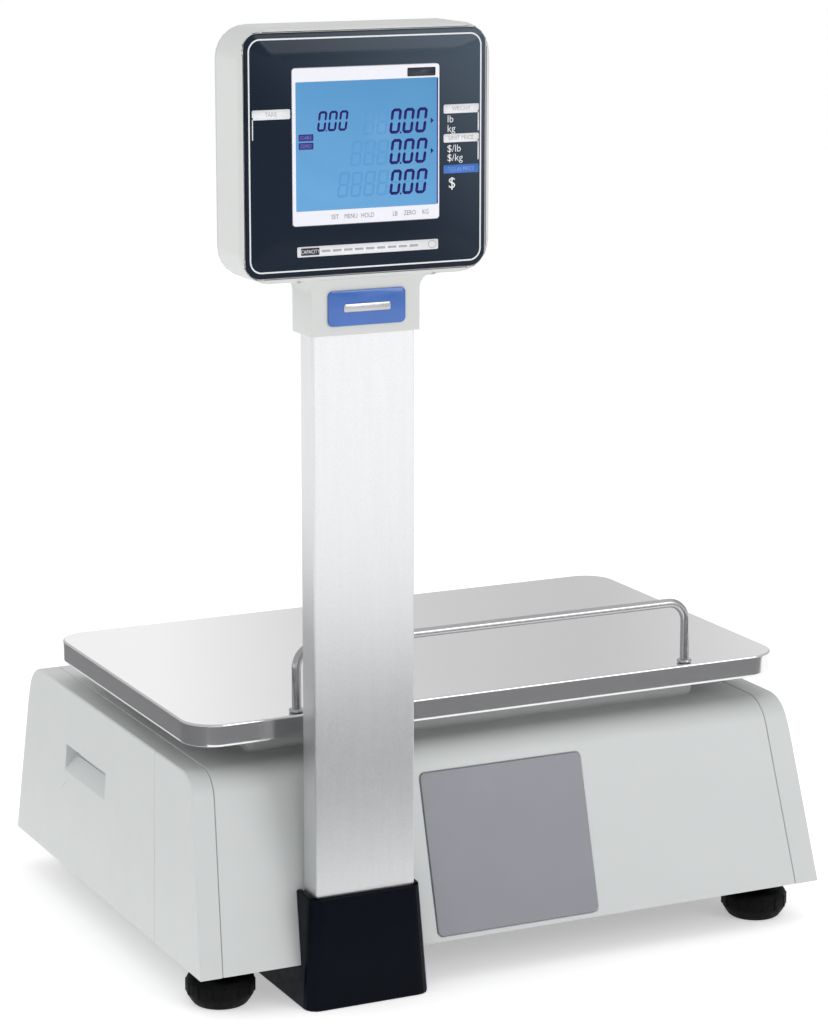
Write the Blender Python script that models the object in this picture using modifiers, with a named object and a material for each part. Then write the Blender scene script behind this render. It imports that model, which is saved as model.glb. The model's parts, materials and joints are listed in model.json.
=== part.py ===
"""Retail price scale: a flat weighing body on four feet, a lift-off platter with a guard rail,
a label printer behind a side door, an operator keypad and a customer display on a pole.

Metres, +Z up. The customer stands at -Y and the operator at +Y. The origin is on the floor, under
the middle of the scale.
"""
import math

import bmesh
import bpy
from mathutils import Matrix, Vector

# Body: a tapered block, its rear face leaning back, with a round edge at the rear and front of its top.
BODY_WIDTH = 0.410
BODY_REAR = -0.152
BODY_FRONT = 0.166
BODY_BOTTOM = 0.024
BODY_TOP = 0.135
REAR_SET_BACK = 0.0315
FRONT_SET_BACK = 0.012
SIDE_DRAFT = 0.0083
REAR_RADIUS = 0.0195
FRONT_RADIUS = 0.018
WALL = 0.0025
GAP = 0.0003
ARC_STEPS = 6

# Side covers and the printer door, which share one outline with the body.
LEFT_COVER = 0.014
RIGHT_COVER = 0.016
DOOR_SPLIT_BOTTOM = -0.080
DOOR_SPLIT_TOP = -0.064
DOOR_AXIS_X = -0.2015
DOOR_AXIS_Z = 0.0285
GRIP_REAR = 0.013
GRIP_FRONT = 0.083
GRIP_TOP = 0.101
GRIP_HEIGHT = 0.0175
GRIP_DEPTH = 0.0095

# Plateau on the top of the body, and the hole that the weighing post comes up through.
PLATEAU_HALF = 0.150
PLATEAU_REAR = -0.092
PLATEAU_FRONT = 0.088
PLATEAU_TOP = 0.144
POST_X = 0.046
POST_SIZE = (0.036, 0.028)
POST_CLEARANCE = 0.004

# Platter, its rail and the platform under it.
PLATTER_WIDTH = 0.390
PLATTER_REAR = -0.121
PLATTER_FRONT = 0.114
PLATTER_TOP = 0.1633
PLATTER_RIM = 0.0134
PLATTER_CORNER = 0.020
PLATTER_EDGE = 0.002
SHEET = 0.0012
RAIL_HALF = 0.1285
RAIL_Y = -0.115
RAIL_TOP = 0.2015
RAIL_ROD = 0.00275
RAIL_BEND = 0.012
PLATFORM_TOP = 0.1515
LOAD_CELL = (0.130, 0.030, 0.022)
LOAD_CELL_BOTTOM = 0.0393

# Levelling feet.
FOOT_PLACES = (
    ("rear_left", -0.182, -0.125),
    ("rear_right", 0.1745, -0.127),
    ("front_left", -0.145, 0.118),
    ("front_right", 0.145, 0.118),
)
FOOT_RADIUS = 0.020
STUD_RADIUS = 0.004

# Pole, its boot and the customer display.
POLE_X = -0.106
POLE_WIDTH = 0.062
POLE_DEPTH = 0.018
POLE_Y = -0.1515
POLE_WALL = 0.002
POLE_BOTTOM = 0.0583
POLE_TOP = 0.412
BOOT_TOP = 0.066
BOOT_OUTER = -0.1668
BOOT_HALF = 0.0390
BOOT_TAPER = 0.0040
BOOT_REACH = -0.060
BOOT_CORNER = 0.008
HEAD_HALF = 0.0750
HEAD_BOTTOM = 0.4195
HEAD_TOP = 0.5572
HEAD_FACE = -0.165
HEAD_SPLIT = -0.133
HEAD_BACK = -0.1290
HEAD_CORNER = 0.018
HEAD_WALL = 0.0025
NECK_HALF = 0.033
NECK_FACE = -0.163
NECK_BACK = -0.137
NECK_BOTTOM = 0.3885
NECK_FLARE = 0.0075
WINDOW_HALF = 0.0716
WINDOW_BOTTOM = 0.4229
WINDOW_TOP = 0.5538
WINDOW_CORNER = 0.0083

# Operator panel, measured on the leaning front face: across, and up the slope from its foot.
PANEL_X = (-0.118, 0.180)
PANEL_UP = (0.010, 0.094)
PANEL_THICK = 0.003
KEY_SIZE = 0.016
KEY_PROUD = 0.0022
KEY_COLUMNS = (-0.050, -0.0685, -0.087)
KEY_ROWS = (0.0765, 0.0580, 0.0395, 0.0210)
KEY_NAMES = (
    ("key_7", "key_8", "key_9"),
    ("key_4", "key_5", "key_6"),
    ("key_1", "key_2", "key_3"),
    ("key_clear", "key_0", "key_print"),
)
LCD_X = (0.020, 0.172)
LCD_UP = (0.0705, 0.0895)
SHEET_X = (-0.030, 0.172)
SHEET_UP = (0.0135, 0.0665)

# Label printer: every shaft lies along X, from the frame's wall towards the door.
FRAME_X = -0.1165
FRAME_THICK = 0.0025
CHEEK_X = -0.1785
CHEEK_THICK = 0.0015
ROLL_Y = -0.002
ROLL_Z = 0.0765
ROLL_RADIUS = 0.043
ROLL_CORE = 0.0133
SPINDLE_RADIUS = 0.0125
SPOOL_Y = 0.078
SPOOL_Z = 0.052
PLATEN_Y = 0.140
PLATEN_Z = 0.0655
PLATEN_RADIUS = 0.0065
HEAD_PIVOT_Y = 0.112
HEAD_PIVOT_Z = 0.092
LEVER_Y = 0.118
LEVER_Z = 0.099
GEAR_MODULE = 0.0008
PLATEN_TEETH = 24
PINION_TEETH = 10
GEAR_X = (-0.1110, -0.1065)
MESH_ANGLE = math.radians(226)

# Finishes: linear colour, roughness, metallic.
FINISHES = {
    "case_grey": ((0.62, 0.65, 0.65), 0.45, 0.0),
    "plate_grey": ((0.30, 0.30, 0.33), 0.5, 0.0),
    "black_plastic": ((0.006, 0.008, 0.012), 0.35, 0.0),
    "black_rubber": ((0.008, 0.008, 0.008), 0.8, 0.0),
    "stainless": ((0.75, 0.75, 0.76), 0.12, 1.0),
    "aluminium": ((0.78, 0.78, 0.79), 0.35, 1.0),
    "zinc_steel": ((0.55, 0.56, 0.58), 0.4, 1.0),
    "navy_glass": ((0.010, 0.020, 0.040), 0.08, 0.0),
    "clear_glass": ((0.70, 0.78, 0.82), 0.05, 0.0),
    "lcd_blue": ((0.11, 0.38, 0.72), 0.3, 0.0),
    "board_green": ((0.01, 0.12, 0.05), 0.5, 0.0),
    "badge_blue": ((0.02, 0.11, 0.45), 0.3, 0.0),
    "key_grey": ((0.42, 0.44, 0.46), 0.5, 0.0),
    "overlay": ((0.10, 0.16, 0.22), 0.4, 0.0),
    "paper": ((0.85, 0.84, 0.80), 0.8, 0.0),
    "gear_white": ((0.80, 0.80, 0.76), 0.5, 0.0),
    "level_green": ((0.35, 0.75, 0.20), 0.1, 0.0),
}

BODY_HEIGHT = BODY_TOP - BODY_BOTTOM
FRONT_LEAN = math.atan2(FRONT_SET_BACK, BODY_HEIGHT)
REAR_LEAN = math.atan2(REAR_SET_BACK, BODY_HEIGHT)
SIDE_LEAN = math.atan2(SIDE_DRAFT, BODY_HEIGHT)

# Places that follow from the driving dimensions.
TRAY_FLOOR = BODY_BOTTOM + 0.0027
PLATE_X = (-0.055, 0.051)
PLATE_UP = (0.0035, 0.0990)
EXIT_X = (-0.184, -0.122)
EXIT_UP = (0.0360, 0.0560)
LEVEL_PLACE = (0.168, 0.1262)
LEVEL_RADIUS = 0.009
CABLE_HEIGHT = 0.0500
SCREW_X = (POLE_X - 0.014, POLE_X + 0.014)
SCREW_Y = -0.080
TONGUE_Y = (-0.1577, -0.1527)
INLET_UP = 0.0310
INLET_Y = -0.112
INLET_SIZE = (0.0280, 0.0220)
ROCKER_Y = -0.080
ROCKER_SIZE = (0.0150, 0.0210)
SOCKETS_Y = -0.014
SOCKETS_SIZE = (0.0880, 0.0200)
SOCKETS = (
    ("network_socket", -0.030, (0.0150, 0.0130)),
    ("memory_socket", -0.008, (0.0130, 0.0060)),
    ("serial_socket", 0.022, (0.0260, 0.0100)),
)
MESH_DISTANCE = GEAR_MODULE * (PLATEN_TEETH + PINION_TEETH) / 2 + 0.0001
PINION_Y = PLATEN_Y + MESH_DISTANCE * math.cos(MESH_ANGLE)
PINION_Z = PLATEN_Z + MESH_DISTANCE * math.sin(MESH_ANGLE)
# The roller's own frame stands on its side: its first axis is world up and its second is world +Y.
GEAR_PHASE = math.pi / 2 - MESH_ANGLE

# Turns that lay a shape made along Z onto another axis.
AXIS_TURNS = {
    "X": Matrix(((0, 0, 1, 0), (1, 0, 0, 0), (0, 1, 0, 0), (0, 0, 0, 1))),
    "Y": Matrix(((1, 0, 0, 0), (0, 0, -1, 0), (0, 1, 0, 0), (0, 0, 0, 1))),
    "Z": Matrix.Identity(4),
}


# ---------------------------------------------------------------- scene and finish helpers

def clear_scene():
    for obj in list(bpy.data.objects):
        bpy.data.objects.remove(obj, do_unlink=True)


def make_collection(name):
    collection = bpy.data.collections.new(name)
    bpy.context.scene.collection.children.link(collection)
    return collection


def link(obj, collection):
    collection.objects.link(obj)
    return obj


def finish(obj, finish_name):
    """Give a node its own material, made from one of the named finishes."""
    colour, roughness, metallic = FINISHES[finish_name]
    material = bpy.data.materials.new(obj.name + "_" + finish_name)
    material.use_nodes = True
    shader = material.node_tree.nodes["Principled BSDF"]
    shader.inputs["Base Color"].default_value = (*colour, 1.0)
    shader.inputs["Roughness"].default_value = roughness
    shader.inputs["Metallic"].default_value = metallic
    obj.data.materials.clear()
    obj.data.materials.append(material)
    return obj


def smooth(obj, angle=30):
    obj.data.shade_smooth()
    obj.data.set_sharp_from_angle(angle=math.radians(angle))
    return obj


def cut(target, *cutters):
    """Take each cutter out of the target."""
    for cutter in cutters:
        add_boolean(target, cutter, "DIFFERENCE")
    return target


def join(target, *additions):
    """Grow the target by each added shape."""
    for addition in additions:
        add_boolean(target, addition, "UNION")
    return target


def add_boolean(target, other, operation):
    modifier = target.modifiers.new(other.name, "BOOLEAN")
    modifier.operation = operation
    modifier.solver = "EXACT"
    modifier.object = other
    for collection in list(other.users_collection):
        collection.objects.unlink(other)
    CUTTERS.objects.link(other)
    other.hide_render = True
    other.display_type = "WIRE"


def frame_empty(name, location, rotation=(0, 0, 0)):
    """An empty that a leaning face's pieces, or a moving piece, are parented to."""
    empty = bpy.data.objects.new(name, None)
    empty.location = location
    empty.rotation_euler = rotation
    return link(empty, PARTS)


def attach(empty, *objects):
    for obj in objects:
        obj.parent = empty


def set_origin(obj, point):
    """Put the origin of a world-placed mesh on its joint axis."""
    obj.data.transform(Matrix.Translation(-Vector(point)))
    obj.location = point
    return obj


# ---------------------------------------------------------------- outlines

def arc(centre, radius, start, end, steps=ARC_STEPS):
    """Points of an arc, angles in degrees."""
    points = []
    for step in range(steps + 1):
        angle = math.radians(start + (end - start) * step / steps)
        points.append((centre[0] + radius * math.cos(angle), centre[1] + radius * math.sin(angle)))
    return points


def filleted(corners, steps=ARC_STEPS):
    """Outline from (u, v, radius) corners, each rounded by its radius."""
    points = []
    for index, (u, v, radius) in enumerate(corners):
        here = Vector((u, v))
        if radius == 0:
            points.append((u, v))
            continue
        before = (Vector(corners[index - 1][:2]) - here).normalized()
        after = (Vector(corners[(index + 1) % len(corners)][:2]) - here).normalized()
        half = math.acos(max(-1.0, min(1.0, before.dot(after)))) / 2
        centre = here + (before + after).normalized() * radius / math.sin(half)
        first = here + before * radius / math.tan(half) - centre
        last = here + after * radius / math.tan(half) - centre
        sweep = first.angle_signed(last)
        for step in range(steps + 1):
            turn = Matrix.Rotation(-sweep * step / steps, 2)
            points.append(tuple(centre + turn @ first))
    return points


def rounded_rectangle(low, high, radius, steps=ARC_STEPS):
    corners = ((low[0], low[1]), (high[0], low[1]), (high[0], high[1]), (low[0], high[1]))
    return filleted([(u, v, radius) for u, v in corners], steps)


def rear_line(z):
    return BODY_REAR + REAR_SET_BACK * (z - BODY_BOTTOM) / BODY_HEIGHT


def front_line(z):
    return BODY_FRONT - FRONT_SET_BACK * (z - BODY_BOTTOM) / BODY_HEIGHT


def draft(z):
    return SIDE_DRAFT * (z - BODY_BOTTOM) / BODY_HEIGHT


def body_outline(inset=0.0, bottom=BODY_BOTTOM):
    """Side profile of the body as (y, z) points, moved in by the inset everywhere but at the bottom."""
    rear_shift = inset / math.cos(REAR_LEAN)
    front_shift = inset / math.cos(FRONT_LEAN)
    top = BODY_TOP - inset
    return filleted([
        (rear_line(bottom) + rear_shift, bottom, 0),
        (front_line(bottom) - front_shift, bottom, 0),
        (front_line(top) - front_shift, top, FRONT_RADIUS - inset),
        (rear_line(top) + rear_shift, top, REAR_RADIUS - inset),
    ])


def arch_outline(inset):
    """The body's profile as an open run, from the foot of the front over the top to the rear's foot."""
    outline = body_outline(inset)
    return outline[1:] + outline[:1]


def gear_outline(teeth, module, phase):
    """Straight-sided teeth with running backlash; a tooth points at the phase angle."""
    pitch_radius = teeth * module / 2
    root = pitch_radius - 1.2 * module
    tip = pitch_radius + 0.85 * module
    pitch = 2 * math.pi / teeth
    points = []
    for tooth in range(teeth):
        middle = phase + tooth * pitch
        for radius, offset in ((root, -0.30), (tip, -0.10), (tip, 0.10), (root, 0.30)):
            angle = middle + offset * pitch
            points.append((radius * math.cos(angle), radius * math.sin(angle)))
    return points


# ---------------------------------------------------------------- solids

def box(name, low, high):
    mesh = bpy.data.meshes.new(name)
    shape = bmesh.new()
    bmesh.ops.create_cube(shape, size=1.0)
    size = Vector(high) - Vector(low)
    bmesh.ops.scale(shape, vec=size, verts=shape.verts)
    bmesh.ops.translate(shape, vec=(Vector(high) + Vector(low)) / 2, verts=shape.verts)
    shape.to_mesh(mesh)
    shape.free()
    return link(bpy.data.objects.new(name, mesh), PARTS)


def rod(name, axis, centre, radius, start, end, sides=20, end_radius=None):
    """Cylinder or cone along an axis; centre holds the other two coordinates."""
    mesh = bpy.data.meshes.new(name)
    shape = bmesh.new()
    bmesh.ops.create_cone(
        shape, cap_ends=True, segments=sides, radius1=radius,
        radius2=radius if end_radius is None else end_radius, depth=end - start)
    bmesh.ops.translate(shape, vec=(centre[0], centre[1], (start + end) / 2), verts=shape.verts)
    bmesh.ops.transform(shape, matrix=AXIS_TURNS[axis] @ reading(axis), verts=shape.verts)
    bmesh.ops.recalc_face_normals(shape, faces=shape.faces)
    shape.to_mesh(mesh)
    shape.free()
    return smooth(link(bpy.data.objects.new(name, mesh), PARTS))


def reading(axis):
    """Along Y an outline's third axis runs the other way, so the run is turned over."""
    return Matrix.Scale(-1, 4, (0, 0, 1)) if axis == "Y" else Matrix.Identity(4)


def slab(name, axis, start, end, *outlines):
    """Flat outline made solid along an axis; outlines after the first are holes."""
    curve = bpy.data.curves.new(name + "_outline", "CURVE")
    curve.dimensions = "2D"
    curve.fill_mode = "BOTH"
    curve.extrude = (end - start) / 2
    for outline in outlines:
        spline = curve.splines.new("POLY")
        spline.points.add(len(outline) - 1)
        for point, (u, v) in zip(spline.points, outline):
            point.co = (u, v, 0, 1)
        spline.use_cyclic_u = True
    mesh = solid_mesh(curve, name)
    move = Matrix.Translation((0, 0, (start + end) / 2))
    mesh.transform(AXIS_TURNS[axis] @ reading(axis) @ move)
    fix_normals(mesh)
    return link(bpy.data.objects.new(name, mesh), PARTS)


def solid_mesh(curve, name):
    """Mesh of a curve with its caps welded on."""
    guide = bpy.data.objects.new(name + "_guide", curve)
    bpy.context.scene.collection.objects.link(guide)
    depsgraph = bpy.context.evaluated_depsgraph_get()
    mesh = bpy.data.meshes.new_from_object(guide.evaluated_get(depsgraph))
    mesh.name = name
    bpy.data.objects.remove(guide, do_unlink=True)
    shape = bmesh.new()
    shape.from_mesh(mesh)
    bmesh.ops.remove_doubles(shape, verts=shape.verts, dist=0.00001)
    shape.to_mesh(mesh)
    shape.free()
    return mesh


def fix_normals(mesh):
    shape = bmesh.new()
    shape.from_mesh(mesh)
    bmesh.ops.recalc_face_normals(shape, faces=shape.faces)
    shape.to_mesh(mesh)
    shape.free()


def wire(name, points, radius, resolution=2):
    """Round bar or cable along a run of points."""
    curve = bpy.data.curves.new(name + "_path", "CURVE")
    curve.dimensions = "3D"
    curve.bevel_depth = radius
    curve.bevel_resolution = resolution
    curve.use_fill_caps = True
    curve.resolution_u = 1
    spline = curve.splines.new("POLY")
    spline.points.add(len(points) - 1)
    for point, place in zip(spline.points, points):
        point.co = (*place, 1)
    mesh = solid_mesh(curve, name)
    fix_normals(mesh)
    return smooth(link(bpy.data.objects.new(name, mesh), PARTS), 40)


def turned(name, profile, sides=32):
    """Turned shape about Z from (radius, height) pairs that run down the outer side."""
    mesh = bpy.data.meshes.new(name)
    shape = bmesh.new()
    verts = [shape.verts.new((radius, 0, height)) for radius, height in profile]
    for upper, lower in zip(verts, verts[1:]):
        shape.edges.new((upper, lower))
    shape.to_mesh(mesh)
    shape.free()
    obj = link(bpy.data.objects.new(name, mesh), PARTS)
    screw = obj.modifiers.new("turn", "SCREW")
    screw.steps = sides
    screw.render_steps = sides
    screw.use_merge_vertices = True
    screw.merge_threshold = 0.00001
    return obj


def round_edges(obj, chosen, width, segments=3):
    """Round the edges whose two ends both pass the test."""
    shape = bmesh.new()
    shape.from_mesh(obj.data)
    bmesh.ops.dissolve_limit(shape, angle_limit=0.001, verts=shape.verts, edges=shape.edges)
    edges = [edge for edge in shape.edges if all(chosen(vert.co) for vert in edge.verts)]
    bmesh.ops.bevel(
        shape, geom=edges, offset=width, segments=segments, profile=0.5, affect="EDGES",
        clamp_overlap=True)
    shape.to_mesh(obj.data)
    shape.free()
    return smooth(obj)


def bevel(obj, width, segments=2):
    modifier = obj.modifiers.new("edges", "BEVEL")
    modifier.width = width
    modifier.segments = segments
    modifier.limit_method = "ANGLE"
    modifier.angle_limit = math.radians(40)
    return smooth(obj)


def slant(mesh, low_end, high_end):
    """Give a run along X leaning ends: each end is a function of height."""
    middle = sum(vert.co.x for vert in mesh.vertices) / len(mesh.vertices)
    for vert in mesh.vertices:
        vert.co.x = low_end(vert.co.z) if vert.co.x < middle else high_end(vert.co.z)


# ---------------------------------------------------------------- body casings

def left_seam(z):
    return -BODY_WIDTH / 2 + LEFT_COVER + draft(z)


def right_seam(z):
    return BODY_WIDTH / 2 - RIGHT_COVER - draft(z)


def left_side(z):
    return -BODY_WIDTH / 2 + draft(z)


def right_side(z):
    return BODY_WIDTH / 2 - draft(z)


def upper_case():
    """Top shell: an arch from rear to front, with the plateau and the openings of all four faces."""
    band = arch_outline(0.0) + list(reversed(arch_outline(WALL)))
    case = slab("upper_case", "X", -1, 1, band)
    slant(case.data, left_seam, right_seam)
    plateau = box(
        "plateau_block", (-PLATEAU_HALF, PLATEAU_REAR, BODY_TOP - WALL / 2),
        (PLATEAU_HALF, PLATEAU_FRONT, PLATEAU_TOP))
    round_edges(plateau, lambda co: abs(co.x) > 0.1, 0.008, 3)
    round_edges(plateau, lambda co: co.z > PLATEAU_TOP - 0.0001, 0.003, 2)
    hollow = box(
        "plateau_hollow", (-PLATEAU_HALF + 0.003, PLATEAU_REAR + 0.003, BODY_TOP - 0.01),
        (PLATEAU_HALF - 0.003, PLATEAU_FRONT - 0.003, PLATEAU_TOP - WALL))
    round_edges(hollow, lambda co: True, 0.002, 1)
    post_hole = box(
        "post_hole",
        (POST_X - POST_SIZE[0] / 2 - POST_CLEARANCE, -POST_SIZE[1] / 2 - 0.0035 - POST_CLEARANCE,
         BODY_TOP - 0.02),
        (POST_X + POST_SIZE[0] / 2 + POST_CLEARANCE, POST_SIZE[1] / 2 - 0.0035 + POST_CLEARANCE,
         PLATEAU_TOP + 0.01))
    join(case, plateau)
    cut(case, hollow, post_hole, level_hole(), cable_hole("case_cable_hole"))
    for cutter in (plate_pocket(), plate_window(), panel_window(), exit_window()):
        cut(case, cutter)
    return finish(smooth(case), "case_grey")


def level_hole():
    return rod("level_hole", "Z", LEVEL_PLACE, LEVEL_RADIUS + GAP, BODY_TOP - 0.008, BODY_TOP + 0.01)


def cable_hole(name):
    return rod(name, "Y", (POLE_X, CABLE_HEIGHT), 0.0045, -0.150, -0.135, 12)


def plate_pocket():
    outline = rounded_rectangle(
        (PLATE_X[0] - 0.0004, PLATE_UP[0] - 0.0004), (PLATE_X[1] + 0.0004, PLATE_UP[1] + 0.0004), 0.003, 3)
    pocket = slab("plate_pocket", "Y", -0.010, 0.0010, outline)
    attach(REAR_FACE, pocket)
    return pocket


def plate_window():
    outline = rounded_rectangle(
        (PLATE_X[0] + 0.008, PLATE_UP[0] + 0.008), (PLATE_X[1] - 0.008, PLATE_UP[1] - 0.008), 0.003, 3)
    window = slab("plate_window", "Y", -0.005, 0.010, outline)
    attach(REAR_FACE, window)
    return window


def panel_window():
    outline = rounded_rectangle(
        (PANEL_X[0], PANEL_UP[0]), (PANEL_X[1], PANEL_UP[1]), 0.003, 3)
    window = slab("panel_window", "Y", -0.010, 0.010, outline)
    attach(FRONT_FACE, window)
    return window


def exit_window():
    outline = rounded_rectangle((EXIT_X[0], EXIT_UP[0]), (EXIT_X[1], EXIT_UP[1]), 0.002, 2)
    window = slab("exit_window", "Y", -0.012, 0.010, outline)
    attach(FRONT_FACE, window)
    return window


def side_shell(name, seam, side, outward):
    """Hollow cover on one end of the body, open towards the middle."""
    shell = slab(name, "X", -1, 1, body_outline())
    hollow = slab(name + "_hollow", "X", -1, 1, body_outline(WALL, BODY_BOTTOM + WALL))
    if outward < 0:
        slant(shell.data, side, lambda z: seam(z) - GAP)
        slant(hollow.data, lambda z: side(z) + WALL, lambda z: seam(z) + 0.01)
    else:
        slant(shell.data, lambda z: seam(z) + GAP, side)
        slant(hollow.data, lambda z: seam(z) - 0.01, lambda z: side(z) - WALL)
    round_edges(
        shell, lambda co: abs(co.x - side(co.z)) < 0.0001 and co.z > BODY_BOTTOM + 0.0001, 0.0012, 2)
    return cut(shell, hollow)


def door_split(name, shift, towards):
    """Everything in front of (towards 1) or behind (towards -1) the slanting edge of the door."""
    reach = towards * 0.40
    points = [
        (DOOR_SPLIT_BOTTOM + shift, BODY_BOTTOM - 0.001),
        (DOOR_SPLIT_BOTTOM + reach, BODY_BOTTOM - 0.001),
        (DOOR_SPLIT_TOP + reach, BODY_TOP + 0.001),
        (DOOR_SPLIT_TOP + shift, BODY_TOP + 0.001),
    ]
    return slab(name, "X", -0.25, -0.15, points)


def printer_side_cover():
    cover = side_shell("printer_side_cover", left_seam, left_side, -1)
    cut(cover, door_split("door_side", -GAP, 1))
    wall = slab("cover_end_wall", "X", left_side(BODY_TOP) + 0.003, left_seam(BODY_BOTTOM) - GAP * 2, [
        (DOOR_SPLIT_BOTTOM - 0.0025, BODY_BOTTOM + 0.001),
        (DOOR_SPLIT_BOTTOM - GAP, BODY_BOTTOM + 0.001),
        (DOOR_SPLIT_TOP - GAP - 0.0006, BODY_TOP - 0.001),
        (DOOR_SPLIT_TOP - 0.0030, BODY_TOP - 0.001),
    ])
    join(cover, wall)
    return finish(smooth(cover), "case_grey")


def printer_door():
    """Side door with a finger pull; it folds out and down about its bottom edge."""
    door = side_shell("printer_door", left_seam, left_side, -1)
    cut(door, door_split("cover_side", 0.0, -1))
    face = left_side(GRIP_TOP)
    low = GRIP_TOP - GRIP_HEIGHT
    housing = slab("grip_housing", "Y", GRIP_REAR - 0.002, GRIP_FRONT + 0.002, [
        (left_side(low - 0.004) + 0.001, low - 0.004),
        (face + 0.001, GRIP_TOP + 0.002),
        (face + GRIP_DEPTH + 0.002, GRIP_TOP + 0.002),
        (face + GRIP_DEPTH + 0.002, GRIP_TOP - 0.0075),
    ])
    grip = slab("grip_cutter", "Y", GRIP_REAR, GRIP_FRONT, filleted([
        (face - 0.02, low, 0),
        (left_side(low) - 0.0008, low, 0.004),
        (face + GRIP_DEPTH, GRIP_TOP - 0.0060, 0.006),
        (face + GRIP_DEPTH, GRIP_TOP, 0.0015),
        (face - 0.02, GRIP_TOP, 0),
    ], 4))
    round_edges(grip, lambda co: co.x > face + GRIP_DEPTH - 0.0060, 0.0035, 4)
    heel = box(
        "door_heel", (DOOR_AXIS_X + 0.006, DOOR_SPLIT_BOTTOM - 0.02, BODY_BOTTOM - 0.001),
        (DOOR_AXIS_X + 0.030, BODY_FRONT + 0.01, DOOR_AXIS_Z + 0.0005))
    pin = rod("door_pin", "Y", (DOOR_AXIS_X, DOOR_AXIS_Z), 0.0018, -0.0785, 0.160, 12)
    join(door, housing)
    cut(door, grip, heel)
    join(door, pin)
    set_origin(door, (DOOR_AXIS_X, 0, DOOR_AXIS_Z))
    return finish(smooth(door), "case_grey")


def right_side_cover():
    cover = side_shell("right_side_cover", right_seam, right_side, 1)
    cut(cover, *side_cutters())
    return finish(smooth(cover), "case_grey")


def side_cutters():
    """Holes in the right cover for the inlet, the power switch and the sockets."""
    places = (
        ("inlet_hole", INLET_Y, INLET_UP, INLET_SIZE),
        ("rocker_hole", ROCKER_Y, INLET_UP, ROCKER_SIZE),
        ("socket_hole", SOCKETS_Y, INLET_UP, SOCKETS_SIZE),
    )
    cutters = []
    for name, middle, up, size in places:
        hole = box(
            name, (-0.02, middle - size[0] / 2 - GAP, up - size[1] / 2 - GAP),
            (0.01, middle + size[0] / 2 + GAP, up + size[1] / 2 + GAP))
        attach(RIGHT_FACE, hole)
        cutters.append(hole)
    return cutters


def tray_outline(inset, bottom, top):
    """Straight-sided slice of the body's profile between two heights."""
    rear_shift = inset / math.cos(REAR_LEAN)
    front_shift = inset / math.cos(FRONT_LEAN)
    return [
        (rear_line(bottom) + rear_shift, bottom),
        (front_line(bottom) - front_shift, bottom),
        (front_line(top) - front_shift, top),
        (rear_line(top) + rear_shift, top),
    ]


def base_tray():
    """Bottom tray with a low wall all round, holes for the feet and posts for the boards."""
    inset = WALL + 0.0006
    tray = slab(
        "base_tray", "X", -0.1875, 0.1855, tray_outline(inset, BODY_BOTTOM + 0.0002, 0.034))
    hollow = slab("tray_hollow", "X", -0.185, 0.183, tray_outline(inset + WALL, TRAY_FLOOR, 0.050))
    cut(tray, hollow)
    for place, x, y in FOOT_PLACES:
        hole = rod(
            "stud_hole_" + place, "Z", (x, y), STUD_RADIUS + 0.0005, BODY_BOTTOM - 0.01,
            TRAY_FLOOR + 0.01, 16)
        cut(tray, hole)
    for x in SCREW_X:
        cut(tray, screw_hole("tray_screw_hole_%d" % (x * 1000), x, 0.020, 0.032))
    return finish(smooth(tray), "black_plastic")


def rear_blanking_plate():
    outline = rounded_rectangle((PLATE_X[0], PLATE_UP[0]), (PLATE_X[1], PLATE_UP[1]), 0.003, 3)
    plate = slab("rear_blanking_plate", "Y", -0.0008, 0.0007, outline)
    attach(REAR_FACE, plate)
    return finish(plate, "plate_grey")


# ---------------------------------------------------------------- operator side

def operator_panel():
    outline = rounded_rectangle(
        (PANEL_X[0] + 0.0004, PANEL_UP[0] + 0.0004), (PANEL_X[1] - 0.0004, PANEL_UP[1] - 0.0004), 0.003, 3)
    openings = [rounded_rectangle((LCD_X[0], LCD_UP[0]), (LCD_X[1], LCD_UP[1]), 0.001, 2)]
    half = KEY_SIZE / 2 + GAP
    for up in KEY_ROWS:
        for x in KEY_COLUMNS:
            openings.append(rounded_rectangle((x - half, up - half), (x + half, up + half), 0.001, 2))
    panel = slab("operator_panel", "Y", -PANEL_THICK, 0.0006, outline, *openings)
    attach(FRONT_FACE, panel)
    return finish(panel, "case_grey")


def preset_key_sheet():
    outline = rounded_rectangle((SHEET_X[0], SHEET_UP[0]), (SHEET_X[1], SHEET_UP[1]), 0.003, 3)
    sheet = slab("preset_key_sheet", "Y", 0.0009, 0.0014, outline)
    attach(FRONT_FACE, sheet)
    return finish(sheet, "overlay")


def operator_window():
    outline = rounded_rectangle(
        (LCD_X[0] + GAP, LCD_UP[0] + GAP), (LCD_X[1] - GAP, LCD_UP[1] - GAP), 0.001, 2)
    window = slab("operator_window", "Y", -0.0028, 0.0003, outline)
    attach(FRONT_FACE, window)
    return finish(window, "clear_glass")


def operator_lcd():
    lcd = box("operator_lcd", (LCD_X[0] + 0.003, -0.0072, LCD_UP[0] + 0.002),
              (LCD_X[1] - 0.003, -0.0033, LCD_UP[1] - 0.002))
    attach(FRONT_FACE, lcd)
    return finish(lcd, "lcd_blue")


def key_board():
    """Circuit board with a switch behind each key."""
    board = box("key_board", (-0.103, -0.0098, 0.0125), (0.176, -0.0082, 0.091))
    attach(FRONT_FACE, board)
    for up in KEY_ROWS:
        for x in KEY_COLUMNS:
            switch = box(
                "switch_%d_%d" % (x * 10000, up * 10000), (x - 0.003, -0.0090, up - 0.003),
                (x + 0.003, -0.0064, up + 0.003))
            attach(FRONT_FACE, switch)
            join(board, switch)
    return finish(board, "board_green")


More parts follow.
